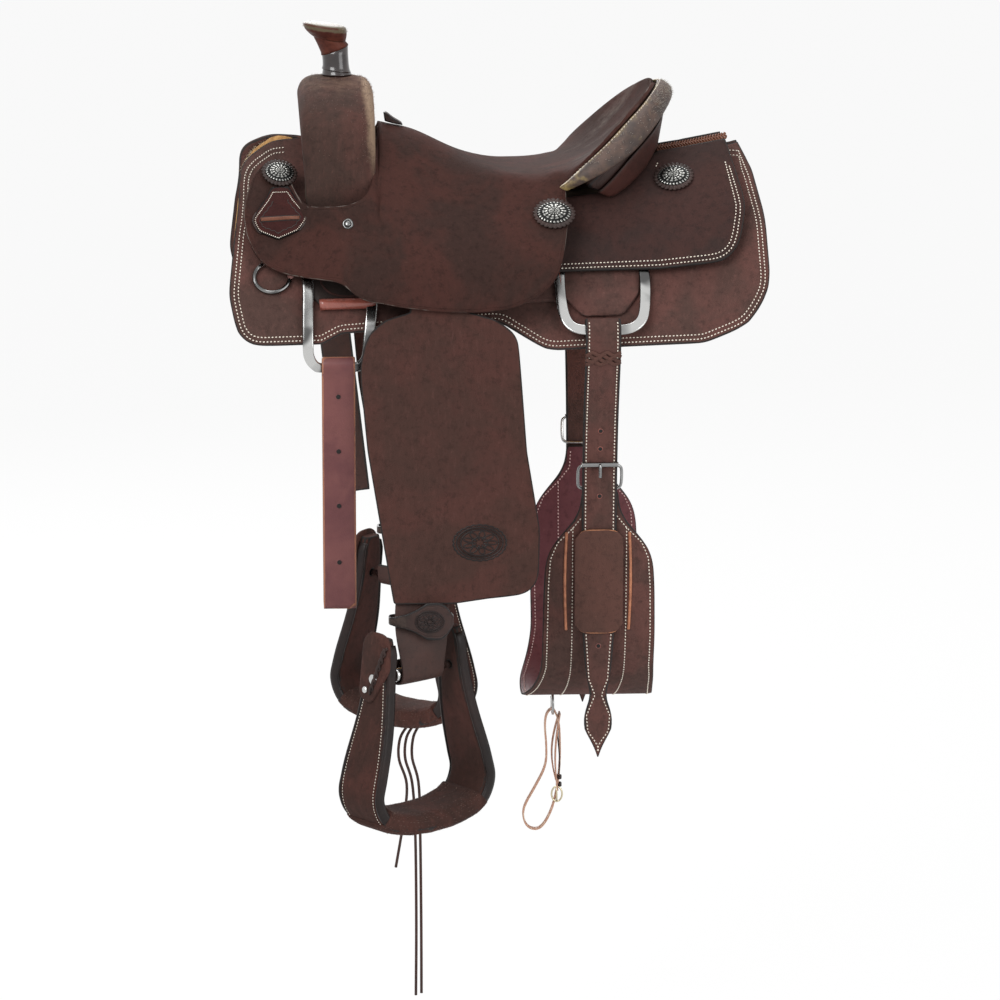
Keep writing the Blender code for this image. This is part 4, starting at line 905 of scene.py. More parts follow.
    @staticmethod
    def stitches(name: str, rows: Sequence[Sequence[Spot]], body: str, finish: Finish = THREAD,
                 pitch: float = 0.0047, radius: float = 0.00082) -> Optional[bpy.types.Object]:
        """Rows of sunk, slightly slanted stitches.

        Args:
            name: the piece's name.
            rows: lines of points with their surface normals.
            body: the body that they ride on.
            finish: the thread's finish.
            pitch: distance from one stitch to the next.
            radius: the thread's radius.

        Returns:
            One piece with every stitch, or None where no row has any.
        """
        points: list[Vector] = []
        faces: list[tuple[int, ...]] = []
        sides = 5
        stations = ((-0.28, 0.45, -0.5), (-0.19, 1.0, 0.25), (0.19, 1.0, 0.25), (0.28, 0.45, -0.5))
        rng = np.random.default_rng(len(rows))
        for row in rows:
            travelled, wanted = 0.0, pitch * 0.5
            for (a, normal), (b, _) in zip(row, row[1:]):
                length = (b - a).length
                while length > 0 and travelled + length >= wanted:
                    spot = a.lerp(b, (wanted - travelled) / length)
                    wanted += pitch
                    along = (b - a).normalized()
                    across = normal.cross(along).normalized()
                    along = (along + across * rng.normal(0.12, 0.05)).normalized()
                    across = normal.cross(along).normalized()
                    base = len(points)
                    for reach, share, sink in stations:
                        middle = spot + along * (reach * pitch) + normal * (radius * sink)
                        for k in range(sides):
                            turn = 2 * math.pi * k / sides
                            flat = across * math.cos(turn) + normal * math.sin(turn)
                            points.append(middle + flat * (radius * share))
                    for ring in range(3):
                        for k in range(sides):
                            a0, n0 = base + ring * sides + k, base + ring * sides + (k + 1) % sides
                            faces.append((a0, n0, n0 + sides, a0 + sides))
                    faces.append(tuple(base + k for k in range(sides)))
                    faces.append(tuple(base + 3 * sides + k for k in reversed(range(sides))))
                travelled += length
        if not points:
            return None
        return Bench.add(name, Bench.mesh(points, faces), finish, body)

    @staticmethod
    def tube(name: str, path: Sequence[Vector], radius: float, finish: Finish, body: str, sides: int = 8,
             closed: bool = False) -> bpy.types.Object:
        """Round wire along a path.

        Args:
            name: the piece's name.
            path: points of its middle.
            radius: its radius.
            finish: its finish.
            body: the body that it rides on.
            sides: points round its section.
            closed: whether it runs back into its start.

        Returns:
            The wire.
        """
        outs = []
        for i in range(len(path)):
            along = path[min(i + 1, len(path) - 1)] - path[max(i - 1, 0)]
            helper = Vector((0, 1, 0)) if abs(along.normalized().y) < 0.9 else Vector((1, 0, 0))
            outs.append(along.cross(helper).normalized())
        return Bench.add(name, Bench.sweep(path, outs, Bench.round_shape(radius, sides), closed), finish, body)

    @staticmethod
    def dome(name: str, spot: Spot, rows: Sequence[Flat], finish: Finish, body: str,
             sides: int = 16) -> bpy.types.Object:
        """Turned head of a rivet or screw: rows of radius and rise on a surface spot.

        Args:
            name: the piece's name.
            spot: where it sits, with the normal.
            rows: rows of radius and rise.
            finish: its finish.
            body: the body that it rides on.
            sides: points round it.

        Returns:
            The head.
        """
        centre, normal = spot
        across = normal.orthogonal().normalized()
        up = normal.cross(across)
        rings = [[centre + normal * rise + across * (radius * a) + up * (radius * b) for a, b in circle(sides)]
                 for radius, rise in rows]
        return Bench.add(name, Bench.loft(rings), finish, body)

    @staticmethod
    def ribbon(name: str, row: Sequence[Spot], wide: float, thick: float, finish: Finish, body: str,
               lift: float = 0.0) -> bpy.types.Object:
        """Flat band laid along a line on a surface.

        Args:
            name: the piece's name.
            row: points of the line with their surface normals.
            wide: the band's width.
            thick: its thickness above the surface.
            finish: its finish.
            body: the body that it rides on.
            lift: height of its middle over the surface.

        Returns:
            The band.
        """
        path = [spot + normal * lift for spot, normal in row]
        outs = [normal for _, normal in row]
        half, cut = wide / 2, wide * 0.12
        shape = [(-half, -thick), (half, -thick), (half, thick * 0.4), (half - cut, thick), (cut - half, thick),
                 (-half, thick * 0.4)]
        return Bench.add(name, Bench.sweep(path, outs, shape), finish, body)

    @staticmethod
    def bands(name: str, tree: BVHTree, side: Side, line: Iterable[Vector], size: Flat, finish: Finish,
              body: str) -> None:
        """Flat bands along a side-view line, one for each unbroken run of it on a surface.

        Args:
            name: the pieces' name, which a number follows.
            tree: the surface.
            side: the side that is seen.
            line: points as (x, z).
            size: the band's width and thickness.
            finish: its finish.
            body: the body that it rides on.
        """
        for n, row in enumerate(Bench.from_side(tree, side, line)):
            Bench.ribbon(f"{name}_{n}", row, *size, finish, body)

    @staticmethod
    def rods(name: str, tree: BVHTree, side: Side, line: Iterable[Vector], lift: float, radius: float,
             finish: Finish, body: str, sides: int) -> None:
        """Round rods along a side-view line, one for each unbroken run of it on a surface.

        Args:
            name: the pieces' name.
            tree: the surface.
            side: the side that is seen.
            line: points as (x, z).
            lift: height of the rod's middle over the surface.
            radius: its radius.
            finish: its finish.
            body: the body that it rides on.
            sides: points round its section.
        """
        for row in Bench.from_side(tree, side, line):
            Bench.tube(name, [spot + normal * lift for spot, normal in row], radius, finish, body, sides)

    @staticmethod
    def fibres(name: str, starts: Sequence[Spot], lengths: Flat, rng: np.random.Generator, finish: Finish,
               body: str) -> bpy.types.Object:
        """Thin loose fibres that stand off a surface.

        Args:
            name: the piece's name.
            starts: roots with the direction that each fibre leans to.
            lengths: shortest and longest fibre.
            rng: the random source.
            finish: the fibres' finish.
            body: the body that they ride on.

        Returns:
            One piece with every fibre.
        """
        points: list[Vector] = []
        faces: list[tuple[int, ...]] = []
        for start, lean in starts:
            way = (lean.normalized() + Vector(rng.normal(0, 0.35, 3))).normalized()
            tip = start + way * rng.uniform(*lengths)
            across = way.orthogonal().normalized() * 0.00020
            other = way.cross(across)
            base = len(points)
            points += [start + across, start - across * 0.5 + other, start - across * 0.5 - other, tip]
            faces += [(base, base + 1, base + 3), (base + 1, base + 2, base + 3), (base + 2, base, base + 3),
                      (base, base + 2, base + 1)]
        return Bench.add(name, Bench.mesh(points, faces), finish, body)

    @staticmethod
    def punched(name: str, spot: Spot, radius: float, ring: Finish, body: str) -> None:
        """Punched hole: a dark sunk disc of painted shade, with the raised lip that the punch leaves.

        Args:
            name: the hole's name.
            spot: where it is, with the normal.
            radius: its radius.
            ring: the lip's finish.
            body: the body that it rides on.
        """
        lip = ((radius * 1.35, -0.0004), (radius * 1.30, 0.0003), (radius * 1.05, 0.0004), (radius, 0.0002))
        Bench.dome(f"{name}_lip", spot, lip, ring, body)
        # The black disc is painted shade inside the hole.
        disc = ((radius * 1.02, 0.0001), (radius * 1.0, 0.0005), (radius * 0.5, 0.0004))
        Bench.dome(name, spot, disc, PAINTED_HOLE_SHADE, body)


# The saddle's sub-assemblies


@dataclass
class Tree:
    """Wooden tree, which shows only in the gullet and under the jockeys."""

    bars: tuple[str, ...] = ("tree_bar_near", "tree_bar_off", "tree_cantle", "tree_fork")

    def build(self) -> None:
        """Gives the wood its finish, the cantle a dark leather colour as painted shade in the wedge between the binding
        and the cantle back, and smooths the fork.
        """
        for node in self.bars:
            # The cantle's dark colour is painted shade in the wedge under the binding.
            Bench.refine(node, DARK if node == "tree_cantle" else WOOD, 1, 0.9)
        log.info("tree dressed")


@dataclass
class Horn:
    """Horn with its smooth wrapped neck and hide-covered cap."""

    cap_x: float = -0.2305
    cap_radius: float = 0.0289
    tilt: float = 0.1405
    rim_low: float = 0.2562
    rubbed_band: float = 0.0022
    rim_heights: Flat = (0.2580, 0.2632)
    hair_count: int = 220
    hair_lengths: Flat = (0.0006, 0.0014)
    foot: Flat = (-0.2140, 0.176)
    lean: float = 0.075
    bend_from: float = 0.2340
    bend: float = 0.55
    wrap: tuple[Knot, ...] = (
        (0.0125, 0.1975, 0.0), (0.0202, 0.1978, 0.0), (0.0190, 0.2000, 0.0), (0.0178, 0.2045, -0.05),
        (0.0173, 0.2150, -0.14), (0.0173, 0.2250, 0.05), (0.0176, 0.2330, 0.25), (0.0130, 0.2335, 0.25),
    )
    lap: tuple[Knot, ...] = (
        (0.0150, 0.2300, 0.36), (0.0178, 0.2302, 0.36), (0.0180, 0.2330, 0.30), (0.0186, 0.2400, 0.10),
        (0.0197, 0.2450, -0.08), (0.0185, 0.2495, -0.14),
    )

    def build(self) -> None:
        """Post, wrap, cap and the lap where the cap's hide meets the wrap."""
        Bench.refine("horn_core", RAWHIDE, 2, 0.5)

        def cap_wear(p: Vector) -> float:
            """Rubbed above the lower line of the rim, which is uneven."""
            height = p.z + (p.x - self.cap_x) * self.tilt - self.rim_low
            return clamp(height / self.rubbed_band + 0.6 * noise.noise(p * 240))

        Bench.refine("horn_cap_cover", RAWHIDE, 3, 0.35, worn=cap_wear)
        Bench.refine("horn_wrap", RUBBER, 2, 0.5)
        for name, rows, finish in (("horn_wrap_outer", self.wrap, RUBBER), ("horn_lap", self.lap, RAWHIDE)):
            Bench.add(name, Bench.loft([self.ring(*row) for row in rows]), finish, "saddle")
        self.cap_hair()
        log.info("horn dressed")

    def ring(self, radius: float, height: float, slope: float) -> list[Vector]:
        """Ring round the neck, which leans forward as it rises.

        Args:
            radius: the ring's radius.
            height: height of its middle.
            slope: how steeply it climbs towards the rear.

        Returns:
            Its points.
        """
        middle = self.foot[0] - (height - self.foot[1]) * self.lean - self.bend * max(height - self.bend_from, 0.0)
        return [Vector((middle + a * radius, b * radius, height + a * radius * slope)) for a, b in circle(40)]

    def cap_hair(self) -> None:
        """Short worn fibres round the cap's pale rim."""
        rng = np.random.default_rng(5)
        starts = []
        for _ in range(self.hair_count):
            turn = rng.uniform(0, 2 * math.pi)
            out = Vector((math.cos(turn), math.sin(turn), 0.0))
            spot = Vector((self.cap_x, 0.0, rng.uniform(*self.rim_heights))) + out * self.cap_radius
            spot.z -= out.x * self.cap_radius * self.tilt
            starts.append((spot, out + Vector((0, 0, 0.4))))
        Bench.fibres("horn_cap_fibres", starts, self.hair_lengths, rng, FUZZ, "saddle")


@dataclass
class Swell:
    """Rough-out cover of the swell fork and the small tab behind it."""

    rear_wear: Flat = (-0.186, -0.172)
    high_wear: Flat = (0.05, 0.13)
    top_wear: Flat = (0.155, 0.190)
    rear_band: Flat = (-0.186, -0.164)
    top_band: Flat = (-0.26, -0.17)
    rear_share: float = 0.75
    ray_from: float = 0.3
    middle_height: float = 0.08
    fibre_count: int = 1500
    fibre_lengths: Flat = (0.0010, 0.0032)

    def build(self) -> None:
        """Cover with its rubbed rear edge, its fibres and the tab."""

        def wear(p: Vector) -> float:
            """Rubbed along the rear edge, most of all high up, and over the top."""
            rear = ramp(p.x, *self.rear_wear) * ramp(p.z, *self.high_wear)
            return min(0.80 * rear + 0.34 * ramp(p.z, *self.top_wear), 0.85)

        def swell_out(p: Vector) -> Vector:
            """Slightly uneven, as hide over wood is."""
            lift = 0.0006 * noise.noise(p * 60)
            return p + Vector((0.0, math.copysign(lift, p.y), 0.0))

        cover = Bench.refine("fork_cover", SWELL_HIDE, 2, 0.25, shape=swell_out, worn=wear)
        self.fuzz(cover)
        Bench.refine("swell_tab", DARK, 2, 0.6)
        log.info("swell dressed")

    def fuzz(self, cover: bpy.types.Object) -> None:
        """Short fibres along the cover's worn rear edge and top.

        Args:
            cover: the swell's cover.
        """
        rng = np.random.default_rng(11)
        surface = Bench.surface(cover)
        starts = []
        for _ in range(self.fibre_count):
            turn = rng.uniform(0.15, math.pi - 0.15)
            x = rng.uniform(*(self.rear_band if rng.uniform() < self.rear_share else self.top_band))
            way = Vector((0.0, math.cos(turn), math.sin(turn)))
            hit = Bench.drop(surface, Vector((x, 0.0, self.middle_height)) + way * self.ray_from, -way)
            if hit:
                starts.append((hit[0], hit[1] + Vector((0.3, 0.0, 0.2))))
        Bench.fibres("swell_fibres", starts, self.fibre_lengths, rng, FUZZ, "saddle")


@dataclass
class Seat:
    """Seat leather in one formed panel with its jockeys, the cantle and its worn binding."""

    screw_at: Flat = (-0.206, 0.028)
    screw: tuple[tuple[str, Finish, tuple[Flat, ...]], ...] = (
        ("screw_cup", STAINLESS, ((0.0070, -0.0004), (0.0070, 0.0006), (0.0062, 0.0012), (0.0050, 0.0008))),
        # The black ring in the gap between cup and screw is painted shade.
        ("screw_gap", PAINTED_HOLE_SHADE, ((0.0050, 0.0008), (0.0048, 0.0011), (0.0030, 0.0011))),
        ("screw", STAINLESS, ((0.0036, 0.0010), (0.0036, 0.0016), (0.0028, 0.0021), (0.0010, 0.0022))),
    )
    dish_x: Flat = (0.02, 0.12)
    dish_z: Flat = (0.06, 0.09)
    crown_x: Flat = (-0.11, -0.01)
    crown_z: Flat = (0.055, 0.075)
    crown_across: Flat = (0.055, 0.05)
    drawn: float = 0.0068
    drawn_x: Flat = (-0.132, -0.156)
    drawn_z: Flat = (0.0, 0.04)
    low_end_x: Flat = (0.108, 0.078)
    seam_share: float = 0.40
    hair_count: int = 900
    hair_lengths: Flat = (0.0010, 0.0042)
    rim: tuple[Knot, ...] = (
        (0.070, -0.122, 0.066), (0.094, -0.132, 0.092), (0.126, -0.125, 0.122), (0.152, -0.108, 0.148),
        (0.183, -0.071, 0.175), (0.203, 0.0, 0.193),
    )
    roll: tuple[Knot, ...] = (
        (0.080, -0.136, 0.060), (0.104, -0.147, 0.072), (0.140, -0.143, 0.091), (0.172, -0.123, 0.112),
        (0.204, -0.078, 0.143), (0.228, 0.0, 0.168),
    )

    def wear(self, p: Vector) -> float:
        """Rubbed along the cantle's foot, the dish and the front of the crown, in streaks that are partly wear and
        partly painted sheen.
        """
        dish = ramp(p.x, *self.dish_x) * ramp(p.z, *self.dish_z)
        across, wide = self.crown_across
        crown = math.exp(-((abs(p.y) - across) / wide) ** 2) * ramp(p.x, *self.crown_x) * ramp(p.z, *self.crown_z)
        wear_and_sheen_streak = 0.5 + 0.9 * noise.noise(Vector((p.x * 9, p.y * 60, p.z * 9)))
        return min(max((0.13 * dish + 0.15 * crown) * (0.55 + wear_and_sheen_streak), 0.0), 0.45)

    def forward(self, p: Vector) -> Vector:
        """Draws the panel's front edge up against the swell."""
        share = ramp(p.x, *self.drawn_x) * ramp(p.z, *self.drawn_z)
        return p + Vector((-self.drawn * share, 0.0, 0.0))

    def build(self) -> None:
        """Panel, ground seat, cantle back and binding with their seams and hardware."""
        # The seat's worn streaks include painted sheen.
        seat = Bench.refine("seat_leather", JOCKEY, 2, 0.7, corner=64.0, shape=self.forward, worn=self.wear,
                            plain=lambda p: -0.172 < p.x < -0.130 and p.z > -0.060)
        Bench.refine("ground_seat", DARK, 1)
        Bench.refine("cantle_back", CANTLE_HIDE, 2, 0.7)
        rims = self.arch(self.rim, 81)

        def roll_wear(p: Vector) -> float:
            """Rubbed in patches, along the seam and at the low ends."""
            patch = noise.noise(p * 70) * 0.5 + noise.noise(p * 170) * 0.6
            low = ramp(p.x, *self.low_end_x)
            seam = clamp(1.15 - min((p - q).length for q in rims) / 0.013)
            return clamp(0.14 + 0.38 * patch + 0.46 * seam + 0.34 * low)

        roll = Bench.refine("cantle_binding", BINDING, 2, 0.35, worn=roll_wear)
        self.seam(roll)
        self.frayed_end(roll)
        surface = Bench.surface(seat)
        for side in Side:
            hit = Bench.outside(surface, side, self.screw_at)
            if hit:
                for name, finish, rows in self.screw:
                    Bench.dome(f"{name}_{side.word}", hit, rows, finish, "saddle")
        log.info("seat dressed")

    @staticmethod
    def arch(knots: Sequence[Sequence[float]], count: int) -> list[Vector]:
        """Whole arch over the saddle.

        Args:
            knots: its near half, from the near end to the ridge.
            count: how many points are wanted.

        Returns:
            Points from the near end to the off end.
        """
        off_half = [(x, -y, z) for x, y, z in reversed(knots[:-1])]
        return Outline.smooth(list(knots) + off_half, count)

    def seam(self, roll: bpy.types.Object) -> None:
        """Stitches along the binding's upper seam.

        Args:
            roll: the binding.
        """
        surface = Bench.surface(roll)
        row: list[Spot] = []
        for rim, edge in zip(self.arch(self.rim, 161), self.arch(self.roll, 161)):
            spot = rim.lerp(edge, self.seam_share)
            start = spot + Vector((-0.02, 0.0, 0.06))
            hit = Bench.drop(surface, start, (spot - start).normalized())
            if hit:
                row.append(hit)
        Bench.stitches("binding_seam", [row], "saddle", THREAD, 0.0052, 0.0005)

    def frayed_end(self, roll: bpy.types.Object) -> None:
        """Frayed fibres at the binding's pale top, and sparser ones along it.

        Args:
            roll: the binding.
        """
        rng = np.random.default_rng(7)
        surface = Bench.surface(roll)
        rims, edges = self.arch(self.rim, 401), self.arch(self.roll, 401)
        starts = []
        for i in range(self.hair_count):
            spread = 0.20 if i < self.hair_count * 0.7 else 0.95
            place = round((rng.uniform(-spread, spread) + 1) * 200)
            spot = rims[place].lerp(edges[place], rng.uniform(0.35, 1.0))
            start = spot + Vector((0.03, 0.0, 0.06))
            hit = Bench.drop(surface, start, (spot - start).normalized())
            if hit:
                starts.append((hit[0], hit[1] + Vector((0.5, 0.0, 0.1))))
        Bench.fibres("binding_fray", starts, self.hair_lengths, rng, HAIR, "saddle")


@dataclass
class Skirts:
    """Long skirts with their fleece and the rear jockeys, all with double rows of stitches."""

    rows: Flat = (0.0062, 0.0116)
    corner: Flat = (-0.330, 0.088)
    corner_reach: float = 0.034
    corner_pull: float = 0.0085
    drawn_up: Flat = (-0.06, -0.09)
    fringe_lengths: Flat = (0.0020, 0.0060)
    lace_from: float = 0.208
    lace_long: float = 0.092
    lace_across: float = -0.0040
    lace_half: float = 0.0058
    strand_radius: float = 0.0014
    low_x: float = 0.02
    ridge_height: float = 0.0747
    ridge_rise: float = 0.38

    @staticmethod
    def skirt_line() -> list[Vector]:
        """The skirt's outline in side view."""
        return Outline.rounded([
            (0.315, 0.1026, 0.0), (-0.262, 0.1133, 0.0), (-0.302, 0.1115, 0.03), (-0.338, 0.084, 0.05),
            (-0.352, 0.010, 0.12), (-0.3605, -0.062, 0.06), (-0.347, -0.126, 0.06), (-0.240, -0.126, 0.02),
            (-0.215, -0.114, 0.02), (-0.010, -0.104, 0.03), (0.050, -0.139, 0.05), (0.255, -0.130, 0.06),
            (0.314, -0.107, 0.06), (0.343, -0.062, 0.06), (0.341, 0.020, 0.12), (0.329, 0.075, 0.04),
        ])

    @staticmethod
    def housing_line() -> list[Vector]:
        """The rear jockey's outline in side view."""
        return Outline.rounded([
            (0.296, 0.106, 0.0), (0.205, 0.100, 0.0), (0.190, 0.083, 0.0), (0.150, 0.052, 0.02),
            (0.050, 0.040, 0.0), (0.050, -0.043, 0.0), (0.200, -0.039, 0.05), (0.300, -0.028, 0.05),
            (0.315, 0.040, 0.05),
        ])

    def fuller(self, p: Vector) -> Vector:
        """Eases the skirt's front upper corner outward, as the damp leather is stretched over the bar."""
        off = ((p.x - self.corner[0]) ** 2 + (p.z - self.corner[1]) ** 2) / self.corner_reach ** 2
        pull = self.corner_pull * math.exp(-off)
        return p + Vector((-0.80 * pull, 0.0, 0.55 * pull))

    def build(self) -> None:
        """Skirts, fleece and rear jockeys of both sides, the leathers with two rows of stitches."""
        for side in Side:
            for node, finish, outline, sewn, shape in (
                ("skirt", ROUGHOUT, self.skirt_line(), self.skirt_sewn, self.fuller),
                ("rear_jockey", HOUSING, self.housing_line(), self.housing_sewn, None),
            ):
                surface = Bench.surface(Bench.refine(f"{node}_{side.word}", finish, 2, 0.85, shape=shape))
                rows: list[list[Spot]] = []
                for inset in self.rows:
                    line = Outline.dense(Outline.inset(outline, inset), True)
                    if shape:
                        line = [shape(Vector((p.x, 0.0, p.y))).xz for p in line]
                    rows += Bench.from_side(surface, side, [p for p in line if sewn(p)])
                Bench.stitches(f"{node}_stitches_{side.word}", rows, "saddle")
            self.fleece(side)
        self.ridge_lace()
        log.info("skirts dressed")

    @staticmethod
    def skirt_sewn(p: Vector) -> bool:
        """Whether the skirt shows its stitches at (x, z), clear of the jockeys."""
        return p.y < 0.098 or p.x < -0.285

    @staticmethod
    def housing_sewn(p: Vector) -> bool:
        """Whether the rear jockey shows its stitches at (x, z), clear of the seat."""
        return (p.y < 0.0 or p.x > 0.20) and p.y < 0.088 and p.x > 0.058

    def fleece(self, side: Side) -> None:
        """Woolly fleece, tufted on its inner face, with a fringe where it looks out.

        Args:
            side: the side that it is on.
        """

        def curl(p: Vector) -> Vector:
            """Drawn in from the skirt's edge and tufted inward."""
            depth = abs(noise.noise(p * 85)) * 0.0022 + abs(noise.noise(p * 210)) * 0.0012
            drawn = Vector((p.x * 0.992, p.y, p.z + 0.0016 * ramp(p.z, *self.drawn_up)))
            return drawn + Vector((0.0, -side.value * depth * 0.8, -0.2 * depth))

        piece = Bench.refine(f"fleece_{side.word}", WOOL, 3, 0.2, shape=curl)
        outline = Outline.dense(Outline.inset(self.skirt_line(), 0.0015), True, 0.0030)
        surface = Bench.surface(piece)
        starts: list[Spot] = []
        rng = np.random.default_rng(3 + side.value)
        for p in outline:
            front = p.x < -0.290 and p.y > 0.052
            low = -0.262 < p.x < -0.185 and p.y < -0.10
            if not front and not low:
                continue
            hit = Bench.drop(surface, side.point(p.x * 0.99, 0.0, p.y - 0.004), Vector((0, side.value, 0)))
            if hit is None:
                continue
            for _ in range(26 if front else 14):
                across = side.value * rng.uniform(0.003, 0.014)
                root = hit[0] + Vector((rng.normal(0, 0.0016), across, rng.normal(0.002, 0.0016)))
                lean = Vector((-1.0, 0.0, 0.5)) if front else Vector((0.0, side.value * 0.3, -1.0))
                starts.append((root, lean))
        Bench.fibres(f"fleece_fringe_{side.word}", starts, self.fringe_lengths, rng, FRINGE, "saddle")

    def ridge_lace(self) -> None:
        """Three-strand leather braid that joins the two skirts over the ridge behind the cantle."""
        for strand in range(3):
            path = []
            for i in range(101):
                x = self.lace_from + self.lace_long * i / 100
                ridge = self.ridge_height + self.ridge_rise * (x - self.low_x) ** 2
                turn = i * 0.52 + strand * 2 * math.pi / 3
                across = self.lace_half * math.sin(turn) + self.lace_across
                path.append(Vector((x, across, ridge + 0.0122 - 0.5 * abs(across) + 0.0010 * math.sin(2 * turn))))
            Bench.tube(f"ridge_lace_{strand}", path, self.strand_radius, LACE, "saddle", 6)


@dataclass
class Rigging:
    """Rigging leathers with their flat steel dees and the breast-collar dees."""

    rivet_at: Flat = (0.030, -0.081)
    rivet: tuple[Flat, ...] = ((0.0044, 0.0), (0.0044, 0.0008), (0.0030, 0.0020), (0.0010, 0.0024))
    front_roll: tuple[float, float, float] = (-0.2475, -0.172, -0.0760)
    front_roll_radius: float = 0.0074
    lip: tuple[Flat, ...] = ((-0.243, -0.040), (-0.240, -0.052), (-0.230, -0.062), (-0.215, -0.0665),
                             (-0.196, -0.0670), (-0.184, -0.0665))
    lip_size: Flat = (0.0030, 0.0016)
    rear_roll: tuple[float, float, float] = (0.0700, -0.0440, -0.0765)
    rear_roll_radius: float = 0.0042
    breast_at: Flat = (-0.304, -0.041)
    breast_half: Flat = (0.0235, 0.0185)
    breast_radius: float = 0.0040

    def build(self) -> None:
        """Leathers, dees, rolled edges and rivets of both sides."""
        for side in Side:
            word = side.word
            # The front rigging's near-black colour is painted shade in the recess.
            front = Bench.refine(f"front_rigging_{word}", CAVITY_PAINTED_SHADE, 2, 0.8)
            rear = Bench.refine(f"rear_rigging_{word}", PLATE, 2, 0.8)
            for node in ("front_dee", "rear_dee", "breast_dee"):
                Bench.refine(f"{node}_{word}", STAINLESS, 3, 0.45, corner=30.0)
            surface = Bench.surface(front)
            start, end, height = self.front_roll
            line = [Vector((x, height)) for x in np.linspace(start, end, 18)]
            Bench.rods(f"rigging_roll_{word}", surface, side, line, 0.0006, self.front_roll_radius, RIGGING, "saddle",
                       16)
            lip = Outline.smooth(self.lip, 24)
            Bench.bands(f"rigging_lip_{word}", surface, side, lip, self.lip_size, HOUSING, "saddle")
            surface = Bench.surface(rear)
            hit = Bench.outside(surface, side, self.rivet_at)
            if hit:
                Bench.dome(f"copper_rivet_{word}", hit, self.rivet, COPPER, "saddle")
            x, top, low = self.rear_roll
            line = [Vector((x + 0.002 * math.sin(z * 60), z)) for z in np.linspace(top, low, 16)]
            Bench.rods(f"rear_rolled_edge_{word}", surface, side, line, 0.0014, self.rear_roll_radius, RIGGING,
                       "saddle", 12)
            self.breast_keeper(side)
        log.info("rigging dressed")

    def breast_keeper(self, side: Side) -> None:
        """Pinkish leather wrapped round the outer limb of the breast-collar dee.

        Args:
            side: the side that it is on.
        """
        packed = frame["nodes"][f"breast_dee_{side.word}"]
        steel = [v.co for v in packed.data.vertices]
        path = []
        for k in range(9):
            turn = math.radians(-4 + 5 * k)
            x = self.breast_at[0] + self.breast_half[0] * math.cos(turn)
            z = self.breast_at[1] + self.breast_half[1] * math.sin(turn)
            near = sorted(steel, key=lambda q: (q.x - x) ** 2 + (q.z - z) ** 2)[:6]
            path.append(Vector((x, sum(q.y for q in near) / 6, z)))
        Bench.tube(f"breast_keeper_{side.word}", path, self.breast_radius, PINK_KEEPER, packed["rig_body"], 12)


